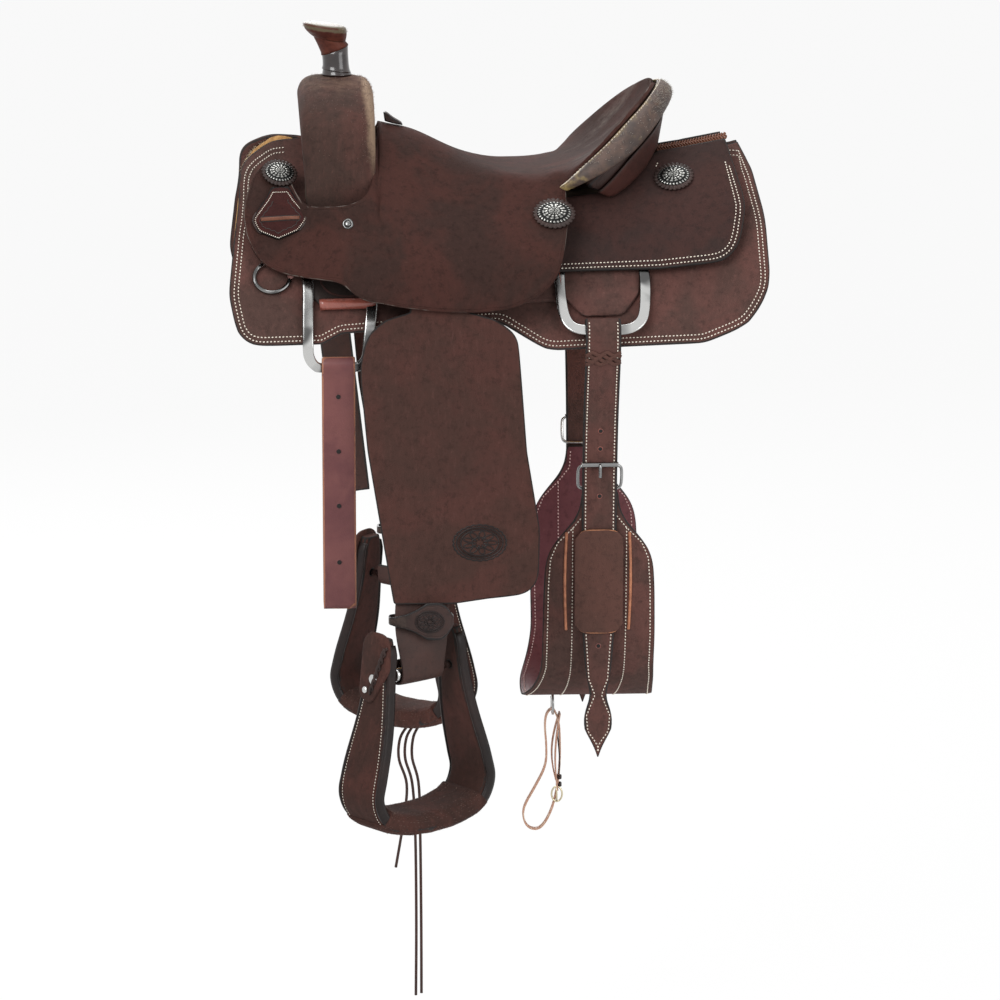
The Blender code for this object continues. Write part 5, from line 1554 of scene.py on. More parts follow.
@dataclass
class Trim:
    """Keyhole patches and conchos."""

    patch_wide: float = 1.14
    patch_low: float = 1.16
    patch_top: float = 1.36
    patch_middle: Flat = (-0.292, 0.033)
    keyhole: tuple[Knot, ...] = (
        (-0.302, 0.058, 0.004), (-0.283, 0.058, 0.004), (-0.276, 0.050, 0.01), (-0.258, 0.034, 0.014),
        (-0.272, 0.018, 0.012), (-0.295, 0.009, 0.004), (-0.318, 0.018, 0.012), (-0.326, 0.032, 0.012),
        (-0.308, 0.050, 0.01),
    )
    seam_inset: float = 0.0034
    seam_top: float = 0.0620
    tooling_inset: float = 0.0082
    tooling_top: float = 0.054
    edge_inset: float = 0.0006
    edge_top: float = 0.040
    slot_ends: Flat = (-0.3180, -0.2680)
    petals: int = 14
    rosette_lobes: int = 26
    rosette_wide: float = 1.08
    rosette: tuple[Flat, ...] = ((0.96, 0.0004), (1.0, 0.0014), (0.97, 0.0026), (0.86, 0.0031), (0.60, 0.0030))
    dome_rings: int = 15
    dome_share: float = 0.72
    dome_wide: float = 1.22
    dome_foot: float = 0.0024
    relief: float = 0.0009
    beads: int = 28

    def build(self) -> None:
        """Patches and conchos of both sides."""
        for side in Side:
            self.patch(side)
            for place in ("front", "seat", "rear"):
                self.concho(f"{place}_concho_{side.word}")
        log.info("trim dressed")

    def patch(self, side: Side) -> None:
        """Keyhole patch with its rope-like stitches, scalloped tooling, layered edge and string.

        Args:
            side: the side that it is on.
        """
        word = side.word
        _, middle, _, along, up = Bench.plane(f"keyhole_patch_{word}")
        up = up if up.z > 0 else -up

        def grown(p: Vector) -> Vector:
            """The patch's solid, enlarged in its own plane."""
            off = p - middle
            a, b = off.dot(along), off.dot(up)
            tall = self.patch_top if b > 0 else self.patch_low
            return p + along * (a * (self.patch_wide - 1)) + up * (b * (tall - 1))

        def grown_flat(x: float, z: float) -> Flat:
            """The same enlargement of a place in side view."""
            tall = self.patch_top if z > middle.z else self.patch_low
            return middle.x + (x - middle.x) * self.patch_wide, middle.z + (z - middle.z) * tall

        surface = Bench.surface(Bench.refine(f"keyhole_patch_{word}", PATCH_HIDE, 2, 0.85, shape=grown))
        line = Outline.rounded([(*grown_flat(x, z), radius) for x, z, radius in self.keyhole])
        seam, tooling, edge = (
            [p for p in Outline.dense(Outline.inset(line, inset), True, 0.002) if p.y < top]
            for inset, top in ((self.seam_inset, self.seam_top), (self.tooling_inset, self.tooling_top),
                               (self.edge_inset, self.edge_top))
        )
        Bench.stitches(f"patch_stitches_{word}", Bench.from_side(surface, side, seam), "saddle", THREAD, 0.0027,
                       0.00062)
        centre = Vector(self.patch_middle)
        scallops = [p + (centre - p).normalized() * (0.0016 * abs(math.sin(i * 0.75))) for i, p in enumerate(tooling)]
        Bench.bands(f"patch_tooling_{word}", surface, side, scallops, (0.0012, 0.0003), DARK, "saddle")
        edge.sort(key=lambda p: math.atan2(p.x + 0.292, -(p.y - 0.034)))
        Bench.bands(f"patch_edge_{word}", surface, side, edge, (0.0030, 0.0013), DARK, "saddle")
        slot = [Vector((x, 0.0315 + (x + 0.293) * 0.03)) for x in np.linspace(*self.slot_ends, 16)]
        for n, row in enumerate(Bench.from_side(surface, side, slot)):
            # The black ribbon under the string is painted shade in the slot.
            Bench.ribbon(f"patch_slot_{word}_{n}", row, 0.0078, 0.0002, PAINTED_HOLE_SHADE, "saddle")
            Bench.ribbon(f"patch_string_{word}_{n}", row, 0.0050, 0.0011, LACE, "saddle", 0.0004)

    def concho(self, node: str) -> None:
        """Scalloped leather rosette with a domed, engraved oval on it.

        Args:
            node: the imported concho.
        """
        points, centre, normal, along, up = Bench.plane(node)
        base = centre + normal * min((p - centre).dot(normal) for p in points)
        reach = max(abs((p - centre).dot(up)) for p in points)
        rings = []
        for share, rise in self.rosette:
            ring = []
            for k, (a, b) in enumerate(circle(self.rosette_lobes * 6)):
                lobe = abs(math.sin(math.pi * k / 6)) ** 0.6
                radius = reach * share * (0.90 + 0.10 * lobe if share > 0.7 else 1.0)
                groove = -0.0007 * (1 - lobe) if 0.8 < share < 0.98 else 0.0
                ring.append(base + along * (self.rosette_wide * radius * a) + up * (radius * b)
                            + normal * (rise + groove))
            rings.append(ring)
        Bench.add(f"{node}_rosette", Bench.loft(rings), DARK, "saddle")
        rings, high = [], []
        count = self.beads * 4
        for i in range(self.dome_rings):
            share = self.dome_share * (1 - i / (self.dome_rings - 1)) + 0.002
            ring = []
            for k, (a, b) in enumerate(circle(count)):
                carve = 0.0 if i == 0 else self.carved(share, 2 * math.pi * k / count, i)
                dome = 0.0030 + 0.0038 * (1 - (share / 0.74) ** 2) + self.relief * carve
                ring.append(base + along * (self.dome_wide * reach * share * a) + up * (reach * share * b)
                            + normal * (dome if i else self.dome_foot))
                high.append(carve)
            rings.append(ring)
        piece = Bench.add(f"{node}_dome", Bench.loft(rings), SILVER, "saddle")
        piece.data.attributes["worn"].data.foreach_set("value", high)
        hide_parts(node)

    def carved(self, share: float, turn: float, ring: int) -> float:
        """How high the concho's relief stands: petals, a groove and a roped border.

        Args:
            share: distance from the middle, as a share of the concho's reach.
            turn: angle round the middle.
            ring: number of the ring, which slants the rope.

        Returns:
            The height, 0 to 1.
        """
        if share > 0.60:
            return 0.5 + 0.5 * math.cos(turn * self.beads + ring * 0.5)
        if share > 0.50:
            return 0.1
        petal = abs(math.cos(turn * self.petals / 2))
        flat_spot = Vector((math.cos(turn) * share * 9, math.sin(turn) * share * 9, 1.0))
        return min(petal * abs(math.sin(share * 24)) + 0.5 * abs(noise.noise(flat_spot)), 1.0)


@dataclass
class FenderSet:
    """Fender, stirrup leather, hobble strap and stirrup of one side."""

    side: Side
    yaw: float = math.radians(38.0)
    centre: Knot = (-0.122, 0.2720, -0.545)
    stamp_at: Flat = (-0.040, -0.378)
    stamp_half: Flat = (0.0300, 0.0200)
    hobble_stamp_at: Flat = (-0.1060, -0.4760)
    hobble_stamp_half: Flat = (0.0185, 0.0140)
    upper_depth: float = 0.044
    lower_depth: float = 0.032
    widening_z: Flat = (-0.52, -0.68)
    ear_z: Flat = (-0.515, -0.492)
    lobe: Flat = (0.22, 0.58)
    bulge_z: Flat = (-0.70, -0.72)
    seam_inset: float = 0.0070
    seam_low: float = -0.728
    bead_top: float = -0.498
    bead: tuple[Flat, ...] = ((-0.0072, -0.0016), (0.0072, -0.0016), (0.0068, 0.0006), (0.0030, 0.0014),
                              (-0.0030, 0.0014), (-0.0068, 0.0006))
    tread_top: float = -0.7235
    tread_half: Flat = (0.0398, 0.0148)
    tread_fibres: int = 1300
    limb: Knot = (0.0570, -0.492, 0.10)
    flap_middle: float = -0.535
    flap_outline: tuple[Knot, ...] = ((-0.0270, -0.572, 0.014), (-0.0255, -0.486, 0.022), (0.0240, -0.484, 0.024),
                                      (0.0270, -0.530, 0.022), (-0.0020, -0.578, 0.012))
    flap_layers: tuple[Flat, ...] = ((1.0, 0.0060), (1.02, 0.0082), (1.0, 0.0108), (0.92, 0.0120))
    rivet_at: Flat = (-0.013, -0.561)
    rivet: tuple[Flat, ...] = ((0.0046, -0.0006), (0.0046, 0.0010), (0.0036, 0.0022), (0.0012, 0.0028))
    bow: tuple[Flat, ...] = ((-0.0570, -0.492), (-0.0600, -0.530), (-0.0705, -0.600), (-0.0885, -0.668),
                             (-0.0940, -0.700), (-0.0780, -0.728), (-0.0400, -0.741), (0.0, -0.744))

    def at(self, u: float, d: float, z: float) -> Vector:
        """Place in the stirrup: u across it and d through its depth."""
        c, s = math.cos(self.yaw), math.sin(self.yaw)
        return self.side.point(self.centre[0] + u * c + d * s, self.centre[1] - u * s + d * c, z)

    def way(self, u: float, d: float, z: float) -> Vector:
        """Direction in the stirrup, of length 1."""
        return (self.at(u, d, z) - self.at(0.0, 0.0, 0.0)).normalized()

    def half_depth(self, z: float) -> float:
        """Half the stirrup's depth at a height."""
        deep = self.upper_depth + self.lower_depth * eased(ramp(z, *self.widening_z))
        return deep * (1 - 0.30 * eased(ramp(z, *self.ear_z))) / 2

    def build(self) -> None:
        """Every leather of the set, then its stamps, stitches and hardware."""
        word = self.side.word
        fender_body, stirrup_body = f"fender_unit_{word}", f"stirrup_unit_{word}"

        def ripple(p: Vector) -> Vector:
            """Hangs a little uneven."""
            return p + Vector((0.0, self.side.value * 0.0007 * noise.noise(p * 14), 0.0))

        fender = Bench.refine(f"fender_{word}", FENDER_HIDE, 3, 0.85, shape=ripple,
                              worn=lambda p: 0.30 * max(0.0, noise.noise(p * 11)))
        self.stamp(Bench.surface(fender), fender_body)
        Bench.refine(f"stirrup_leather_{word}", STRAP, 2, 0.8)
        low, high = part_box(f"hobble_strap_{word}")
        middle = (low.z + high.z) / 2

        def lobed(p: Vector) -> Vector:
            """Narrow strap that widens to a rounded lobe at its rear end."""
            share = (p.x - low.x) / (high.x - low.x)
            wide = 0.62 + 0.72 * ramp(share, *self.lobe) ** 1.5
            wide *= math.sqrt(max(1 - (max(share - 0.72, 0.0) / 0.31) ** 2, 0.05))
            return Vector((p.x, p.y, middle + (p.z - middle) * wide))

        hobble = Bench.refine(f"hobble_strap_{word}", DARK, 3, 0.7, corner=40.0, shape=lobed,
                              worn=lambda p: 0.35 if p.x < -0.135 else 0.10)
        self.oval(f"hobble_stamp_{word}", Bench.surface(hobble), self.hobble_stamp_at, self.hobble_stamp_half,
                  fender_body)
        Bench.refine(f"stirrup_bolt_{word}", STAINLESS, 2, 0.5)
        self.stirrup(stirrup_body)
        log.info("%s fender and stirrup dressed", word)

    def oval(self, name: str, surface: BVHTree, centre: Flat, half: Flat, body: str) -> None:
        """Stamped oval with a beaded border and a plain leaf rosette in it, laid on a surface.

        Args:
            name: the piece's name.
            surface: what it lies on.
            centre: its middle in side view.
            half: half its width and half its height.
            body: the body that it rides on.
        """
        def spot(share: float, turn: float) -> Vector:
            """Place at a share of the oval's size."""
            return Vector((centre[0] + half[0] * share * math.cos(turn), centre[1] + half[1] * share * math.sin(turn)))

        for i, share in enumerate((1.0, 0.82, 0.34)):
            line = [spot(share, 2 * math.pi * k / 72) for k in range(73)]
            Bench.bands(f"{name}_ring_{i}", surface, self.side, line, (0.0019, 0.0007), BAND, body)
        for petal in range(9):
            turn = 2 * math.pi * petal / 9
            line = [spot(0.16 + 0.58 * math.sin(math.pi * k / 16), turn + 0.30 * math.cos(math.pi * k / 16))
                    for k in range(17)]
            Bench.bands(f"{name}_petal_{petal}", surface, self.side, line, (0.0016, 0.0007), BAND, body)
        beads = [spot(0.91, 2 * math.pi * k / 60) for k in range(61)]
        Bench.stitches(f"{name}_beads", Bench.from_side(surface, self.side, beads), body, BAND, 0.0022, 0.0009)

    def stamp(self, surface: BVHTree, body: str) -> None:
        """The fender's oval stamp: a plain generic rosette in a scalloped border.

        Args:
            surface: the fender's surface.
            body: the body that it rides on.
        """
        word = self.side.word
        self.oval(f"fender_stamp_{word}", surface, self.stamp_at, self.stamp_half, body)
        edge = []
        for k in range(145):
            turn = 2 * math.pi * k / 144
            lobe = 1.10 + 0.06 * abs(math.sin(turn * 13))
            edge.append(Vector((self.stamp_at[0] + self.stamp_half[0] * lobe * math.cos(turn),
                                self.stamp_at[1] + self.stamp_half[1] * lobe * math.sin(turn))))
        Bench.bands(f"fender_stamp_edge_{word}", surface, self.side, edge, (0.0022, 0.0006), BAND, body)

    def stirrup(self, body: str) -> None:
        """Leather-wrapped stirrup with its bound edges, stitches, tread wrap, ear rivets and lace.

        Args:
            body: the body that it rides on.
        """
        word = self.side.word

        def bulge(p: Vector) -> Vector:
            """Uneven below the tread."""
            return p + Vector((0.0, 0.0, 0.0012 * noise.noise(p * 55))) * ramp(p.z, *self.bulge_z)

        # The stirrup's hide colour carries painted shade.
        surface = Bench.surface(Bench.refine(f"stirrup_{word}", BOW_HIDE_PAINTED_SHADE, 2, 0.45, corner=35.0, shape=bulge))
        half = Outline.smooth(self.bow, 46)
        line = half + [Vector((-p.x, p.y)) for p in reversed(half[:-1])]
        for face, end in ((-1, "back"), (1, "front")):
            bead: list[Vector] = []
            outs: list[Vector] = []
            row: list[Spot] = []
            for i, p in enumerate(line):
                deep = self.half_depth(p.y)
                seam = face * (deep - self.seam_inset)
                tangent = line[min(i + 1, len(line) - 1)] - line[max(i - 1, 0)]
                out = Vector((tangent.y, -tangent.x)).normalized()
                if out.dot(p - Vector((0.0, -0.62))) < 0:
                    out = -out
                if p.y < self.bead_top:
                    bead.append(self.at(p.x, face * (deep - 0.0002), p.y))
                    outs.append(self.way(0.0, face, 0.0))
                start = self.at(p.x + out.x * 0.06, seam, p.y + out.y * 0.06)
                hit = Bench.drop(surface, start, (self.at(p.x, seam, p.y) - start).normalized())
                if hit and p.y > self.seam_low:
                    row.append(hit)
                elif row:
                    Bench.stitches(f"stirrup_stitches_{word}_{end}_{i}", [row], body, THREAD, 0.0040, 0.0005)
                    row = []
            Bench.add(f"stirrup_binding_{word}_{end}", Bench.sweep(bead, outs, self.bead), BAND, body)
            if row:
                Bench.stitches(f"stirrup_stitches_{word}_{end}", [row], body, THREAD, 0.0040, 0.0005)
        self.tread(line, body)
        self.ears(surface, body)

    def tread(self, line: Sequence[Vector], body: str) -> None:
        """Fuzzy wrap round the tread.

        Args:
            line: the stirrup's centre line, as (u, z).
            body: the body that it rides on.
        """
        word = self.side.word
        kept = [p for p in line if p.y < self.tread_top]
        through = self.way(0.0, 1.0, 0.0)
        rings = []
        for i, p in enumerate(kept):
            tangent = (kept[min(i + 1, len(kept) - 1)] - kept[max(i - 1, 0)]).normalized()
            inward = Vector((-tangent.y, tangent.x))
            inward = inward if inward.y > 0 else -inward
            rise = self.way(inward.x, 0.0, inward.y)
            middle = self.at(p.x, 0.0, p.y) + rise * 0.0020
            ring = []
            for k, (c, s) in enumerate(circle(40)):
                a = math.copysign(abs(c) ** 0.45, c) * self.tread_half[0]
                b = math.copysign(abs(s) ** 0.55, s) * self.tread_half[1]
                fold = 1 + 0.035 * noise.noise(Vector((i * 0.45, k * 0.5, 2.0)))
                ring.append(middle + through * (a * fold) + rise * (b * fold))
            rings.append(ring)
        Bench.add(f"tread_wrap_{word}", Bench.loft(rings), TREAD_HIDE, body)
        rng = np.random.default_rng(21)
        starts = []
        for _ in range(self.tread_fibres):
            i, k = int(rng.integers(0, len(rings) - 1)), int(rng.integers(0, 40))
            root = rings[i][k].lerp(rings[i + 1][k], rng.uniform())
            starts.append((root, root - sum(rings[i], Vector()) / 40))
        Bench.fibres(f"tread_fibres_{word}", starts, (0.0008, 0.0022), rng, FUZZ, body)

    def flap(self, body: str) -> None:
        """Rounded rough-out flap that covers the front limb's ear.

        Args:
            body: the body that it rides on.
        """
        outline = Outline.rounded(self.flap_outline)
        limb, top, spread = self.limb
        rings = []
        for share, out in self.flap_layers:
            ring = []
            for p in outline:
                z = self.flap_middle + (p.y - self.flap_middle) * share
                ring.append(self.at(-(limb + spread * max(top - z, 0.0) + out), p.x * share, z))
            rings.append(ring)
        Bench.add(f"ear_flap_{self.side.word}", Bench.loft(rings), TREAD_HIDE, body)

    def ears(self, surface: BVHTree, body: str) -> None:
        """Flap on the front ear, oval rivets below both and the twisted lace beside the front one.

        Args:
            surface: the stirrup's surface.
            body: the body that they ride on.
        """
        word = self.side.word
        self.flap(body)
        for way in (-1, 1):
            start = self.at(way * 0.16, *self.rivet_at)
            hit = Bench.drop(surface, start, (self.at(0.0, *self.rivet_at) - start).normalized())
            if hit:
                spot = (hit[0] + hit[1] * (0.0048 if way < 0 else 0.0), hit[1])
                Bench.dome(f"ear_rivet_{word}_{way + 1}", spot, self.rivet, WIRE, body)
        for strand in range(2):
            path = []
            for k in range(60):
                t = k / 59
                turn = t * 20 + strand * math.pi
                sway = Vector((math.cos(turn), 0.0, math.sin(turn))) * 0.0021
                path.append(self.at(-0.0725 - 0.004 * t, 0.0240 - 0.026 * t, -0.500 - 0.062 * t) + sway)
            Bench.tube(f"ear_lace_{word}_{strand}", path, 0.0020, DARK, body, 6)


@dataclass
class FrontStraps:
    """Near latigo and off front billet with their punched holes."""

    hole: float = 0.0030
    latigo_x: float = -0.2205
    latigo_holes: tuple[float, ...] = (-0.193, -0.265, -0.337, -0.412)
    billet_x: float = -0.2200
    billet_top: float = -0.157
    billet_holes: tuple[float, ...] = (-0.215, -0.250, -0.285, -0.320, -0.355)
    lean: float = 0.115

    def build(self) -> None:
        """Both straps, the off one leaning to the rear as it hangs."""
        for node, finish, body, side, name, holes, x, lean in (
            ("latigo_near", BURGUNDY, "latigo_unit_near", Side.NEAR, "latigo_hole", self.latigo_holes, self.latigo_x,
             0.0),
            ("billet_off_front", STRAP, "billet_unit_off", Side.OFF, "off_billet_hole", self.billet_holes,
             self.billet_x, self.lean),
        ):
            surface = Bench.surface(Bench.refine(node, finish, 2, 0.85, corner=40.0))
            for n, z in enumerate(holes):
                hit = Bench.outside(surface, side, (x + lean * (self.billet_top - z), z))
                if hit:
                    Bench.punched(f"{name}_{n}", hit, self.hole, finish, body)
        log.info("front straps dressed")


@dataclass
class FlankSet:
    """Flank billets, buckles, cinch and keeper."""

    strap_x: float = 0.1225
    tip_z: float = -0.692
    point_top: float = -0.660
    seam_inset: float = 0.0046
    holes: tuple[float, ...] = (-0.1460, -0.2500, -0.2750, -0.3400, -0.5450)
    keeper_ends: Flat = (-0.399, -0.513)
    lace_z: float = -0.1400
    lace_step: float = 0.0041
    roller_ends: tuple[float, ...] = (-0.0240, -0.0225, 0.0225, 0.0240)
    bar_half: float = 0.0023
    tongue: tuple[Flat, ...] = ((0.0, 0.0), (0.0044, -0.001), (0.0044, -0.008), (0.0036, -0.013), (0.0024, -0.0165))
    turn_z: float = -0.500
    turn_radius: float = 0.1450
    cinch_top: float = -0.335
    cinch_x: float = 0.1235
    cinch_sway: Knot = (0.008, 0.25, 0.11)
    cinch_across: Flat = (0.156, 0.011)
    cinch_margin: float = 0.004
    cinch_seams: tuple[tuple[float, str], ...] = ((0.0062, "edge"), (0.0355, "inner"))
    welt_x: float = 0.1215
    welt_radius: float = 0.0019
    widths: tuple[Flat, ...] = ((-0.692, 0.012), (-0.665, 0.036), (-0.640, 0.040), (-0.612, 0.018),
                                (-0.590, 0.034), (-0.500, 0.046))
    cinch_half: tuple[Flat, ...] = ((0.0, 0.0240), (0.03, 0.026), (0.050, 0.042), (0.070, 0.062), (0.092, 0.071),
                                    (0.130, 0.0735), (0.200, 0.0745), (0.250, 0.0745), (0.300, 0.080),
                                    (0.345, 0.087), (0.400, 0.088))

    def round_corners(self, p: Vector) -> Vector:
        """Rounds the keeper's four corners by drawing its ends in towards the sides."""
        top, low = self.keeper_ends
        across = min(abs(p.x - self.strap_x) / 0.032, 1.0)
        near_end = max(min((p.z - top) / 0.014, 1.0), min((low - p.z) / 0.014, 1.0), 0.0)
        return Vector((self.strap_x + (p.x - self.strap_x) * (1 - 0.16 * near_end ** 2 * across ** 3), p.y,
                       p.z - math.copysign(0.007 * near_end * across ** 4, p.z - (top + low) / 2)))

    def above_tip(self, z: float) -> float:
        """Share of the billet's point that lies below a height."""
        return ramp(z, self.tip_z, self.point_top)

    @staticmethod
    def narrowed(share: float) -> float:
        """How wide the point is at a share of its length."""
        return 0.12 + 0.88 * share ** 0.8

    def pointed(self, p: Vector) -> Vector:
        """Draws the billet's end to a point."""
        share = self.above_tip(p.z)
        return Vector((self.strap_x + (p.x - self.strap_x) * self.narrowed(share), p.y, p.z - 0.0050 * (1 - share)))

    @staticmethod
    def read(table: Sequence[Flat], x: float) -> float:
        """Reads a table, with straight lines between its rows.

        Args:
            table: rows of (x, value).
            x: where it is read.

        Returns:
            The value.
        """
        if x <= table[0][0]:
            return table[0][1]
        for (x0, v0), (x1, v1) in zip(table, table[1:]):
            if x <= x1:
                return v0 + (v1 - v0) * (x - x0) / (x1 - x0)
        return table[-1][1]

    def build(self) -> None:
        """All pieces of the set."""
        for side in Side:
            surface = Bench.surface(
                Bench.refine(f"flank_billet_{side.word}", ROUGHOUT, 2, 0.85, corner=40.0, shape=self.pointed)
            )
            rows: list[list[Spot]] = []
            for edge in (-1, 1):
                line = []
                for i in range(170):
                    z = -0.0985 - 0.590 * i / 169
                    half = self.read(self.widths, z) / 2 * self.narrowed(self.above_tip(z)) - self.seam_inset
                    line.append(Vector((self.strap_x + edge * max(half, 0.0004), z)))
                rows += Bench.from_side(surface, side, line)
            Bench.stitches(f"billet_stitches_{side.word}", rows, "flank_set")
            for n, z in enumerate(self.holes):
                hit = Bench.outside(surface, side, (self.strap_x, z))
                if hit:
                    Bench.punched(f"billet_hole_{side.word}_{n}", hit, 0.0027, RIGGING, "flank_set")
            self.lace(side, surface)
            self.buckle(side)
        self.cinch()
        Bench.refine("cinch_keeper", PANEL, 3, 0.8, shape=self.round_corners)
        log.info("flank set dressed")

    def lace(self, side: Side, surface: BVHTree) -> None:
        """Braided lace round the billet below the dee.

        Args:
            side: the side that it is on.
            surface: the billet's surface.
        """
        for n in range(4):
            line = []
            for t in np.linspace(-1, 1, 33):
                wave = 0.0021 * math.sin(t * 7.5 + n * 1.9)
                line.append(Vector((self.strap_x + t * 0.0222, self.lace_z - self.lace_step * n + wave)))
            for row in Bench.from_side(surface, side, line):
                lifted = []
                for k, (spot, normal) in enumerate(row):
                    over = 0.0006 + 0.0009 * (0.5 + 0.5 * math.sin(k * 0.9 + n * math.pi))
                    lifted.append((spot + normal * over, normal))
                Bench.ribbon(f"billet_lace_{side.word}_{n}", lifted, 0.0050, 0.0009, PANEL, "flank_set")

    def buckle(self, side: Side) -> None:
        """Roller on the buckle's top bar and its tongue.

        Args:
            side: the side that it is on.
        """
        Bench.refine(f"flank_buckle_{side.word}", WIRE, 2, 0.4)
        low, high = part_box(f"flank_buckle_{side.word}")
        across = max(abs(low.y), abs(high.y)) - self.bar_half
        top = high.z - self.bar_half
        roller = [side.point(self.strap_x + x, across, top) for x in self.roller_ends]
        Bench.tube(f"buckle_roller_{side.word}", roller, 0.0034, WIRE, "flank_set", 14)
        path = [side.point(self.strap_x, across + p.x, top + p.y) for p in Outline.smooth(self.tongue, 14)]
        Bench.tube(f"buckle_tongue_{side.word}", path, 0.0022, WIRE, "flank_set", 10)

    def cinch(self) -> None:
        """Rough-out cinch with its burgundy lining, seams and two rolled tan edges."""
        piece = Bench.refine("flank_cinch", ROUGHOUT, 2, 0.85)
        surface = Bench.surface(piece)
        rows: list[list[Spot]] = []
        for offset, kind in self.cinch_seams:
            for way in (-1, 1):
                seam = self.cinch_seam(offset, kind == "edge", way)
                row, inside = (
                    [hit for hit in (Bench.drop(surface, spot + out * (0.03 * face), out * -face) for spot, out in seam)
                     if hit] for face in (1, -1)
                )
                rows.append(row)
                Bench.stitches(f"cinch_inner_stitches_{kind}_{way + 1}", [inside], "flank_set", RED_THREAD)
        Bench.stitches("cinch_stitches", rows, "flank_set")
        self.paint_lining(piece)
        for way in (-1, 1):
            for side in Side:
                line = []
                for t in np.linspace(0, 1, 30):
                    bow = 0.0415 + 0.0020 * math.sin(math.pi * t)
                    line.append(Vector((self.welt_x + way * bow, -0.390 - 0.134 * t)))
                Bench.rods(f"cinch_welt_{side.word}_{way + 1}", surface, side, line, 0.0006, self.welt_radius,
                           HIDE_EDGE, "flank_set", 8)

    def cinch_seam(self, offset: float, from_edge: bool, way: int) -> list[Spot]:
        """Line of a seam from one end of the cinch round its turn to the other.

        Args:
            offset: distance from the cinch's edge or from its middle.
            from_edge: whether it is taken from the edge.
            way: -1 for the front half, 1 for the rear half.

        Returns:
            Its points with their outward directions.
        """
        count = 90
        sway, sway_from, sway_long = self.cinch_sway
        top_across, drawn = self.cinch_across
        straight = self.cinch_top - self.turn_z
        end = straight + self.turn_radius * math.pi / 2
        seam: list[Spot] = []
        for i in range(2 * count + 1):
            along = end * i / count
            part = 2 * end - along if along > end else along
            mirror = 1 if along > end else -1
            half = self.read(self.cinch_half, part)
            reach = half - offset if from_edge else offset
            if reach > half - self.cinch_margin:
                continue
            x = self.cinch_x - sway * eased((part - sway_from) / sway_long) + way * reach
            if part < straight:
                spot = Vector((x, mirror * (top_across - drawn * part / straight), self.cinch_top - part))
                out = Vector((0, mirror, 0))
            else:
                angle = (part - straight) / self.turn_radius
                out = Vector((0, mirror * math.cos(angle), -math.sin(angle)))
                spot = Vector((x, 0, self.turn_z)) + out * self.turn_radius
            seam.append((spot, out))
        return seam

    def paint_lining(self, piece: bpy.types.Object) -> None:
        """Burgundy leather on the faces that look inward.

        Args:
            piece: the cinch.
        """
        piece.data.materials.append(LINING.material())
        for face in piece.data.polygons:
            middle = face.center
            to_axis = Vector((0.0, -middle.y, max(self.turn_z - middle.z, 0.0)))
            if face.normal.dot(to_axis) > 0.5 * to_axis.length:
                face.material_index = 1


@dataclass
class Connector:
    """Snap and tie strap under the flank cinch."""

    x: float = 0.0715
    snap_z: float = -0.6616
    buckle_share: float = 0.30
    buckle_half: Flat = (0.0072, 0.0105)
    keeper_shares: Flat = (0.37, 0.43)
    keeper_half: Flat = (0.0034, 0.0058)
    runs: tuple[Knot, ...] = ((-0.0062, -0.0050, 0.33), (-0.0105, 0.0046, 0.40))

    def build(self) -> None:
        """Snap with its gate, strap with its buckle, keepers and tail."""
        Bench.refine("connector_snap", WIRE, 2, 0.3)
        gate = [Vector((self.x, 0.0105, self.snap_z + z)) for z in (-0.008, -0.003, 0.003, 0.008)]
        Bench.tube("snap_gate", gate, 0.0024, WIRE, "snap_unit", 10)
        Bench.refine("connector_strap", TAN, 2, 0.8, corner=40.0)
        low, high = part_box("connector_strap")
        tall = high.z - low.z
        side_x = high.x - 0.0018
        middle = Vector((side_x - 0.004, -0.0064, low.z + self.buckle_share * tall))
        brass = [middle + Vector((self.buckle_half[0] * a, 0.0, self.buckle_half[1] * b)) for a, b in circle(32)]
        Bench.tube("strap_buckle", brass, 0.0012, BRASS, "tie_unit", 8, True)
        tongue = [middle + Vector((0.0, -0.0002, z)) for z in (-0.010, 0.0, 0.0112)]
        Bench.tube("strap_buckle_tongue", tongue, 0.0010, BRASS, "tie_unit", 8)
        for n, share in enumerate(self.keeper_shares):
            middle = Vector((side_x - 0.001, 0.0, low.z + share * tall))
            ring = [middle + Vector((self.keeper_half[0] * a, self.keeper_half[1] * b, 0.0)) for a, b in circle(20)]
            outs = [(p - middle).normalized() for p in ring]
            Bench.add(f"strap_keeper_{n}", Bench.sweep(ring, outs, slab(0.0022, 0.0006), True), DARK, "tie_unit")
        for n, (shift, front, end) in enumerate(self.runs):
            run = [Vector((side_x + shift * math.sin(math.pi * (0.15 + 0.85 * t)), front,
                           low.z + (end + (0.95 - end) * t) * tall)) for t in np.linspace(0, 1, 18)]
            self.strip(f"strap_run_{n}", run, slab(0.0042, 0.0010), TAN)
        tail = [Vector((side_x - 0.0015 + 0.0014 * math.sin(5 * t), -0.0018, low.z + (0.42 + 0.42 * t) * tall))
                for t in np.linspace(0, 1, 14)]
        self.strip("strap_tail", tail, slab(0.0040, 0.0007), DARK)
        log.info("connector dressed")

    @staticmethod
    def strip(name: str, path: Sequence[Vector], shape: Sequence[Flat], finish: Finish) -> None:
        """Flat strip that faces the rear."""
        Bench.add(name, Bench.sweep(path, [REARWARD] * len(path), shape), finish, "tie_unit")


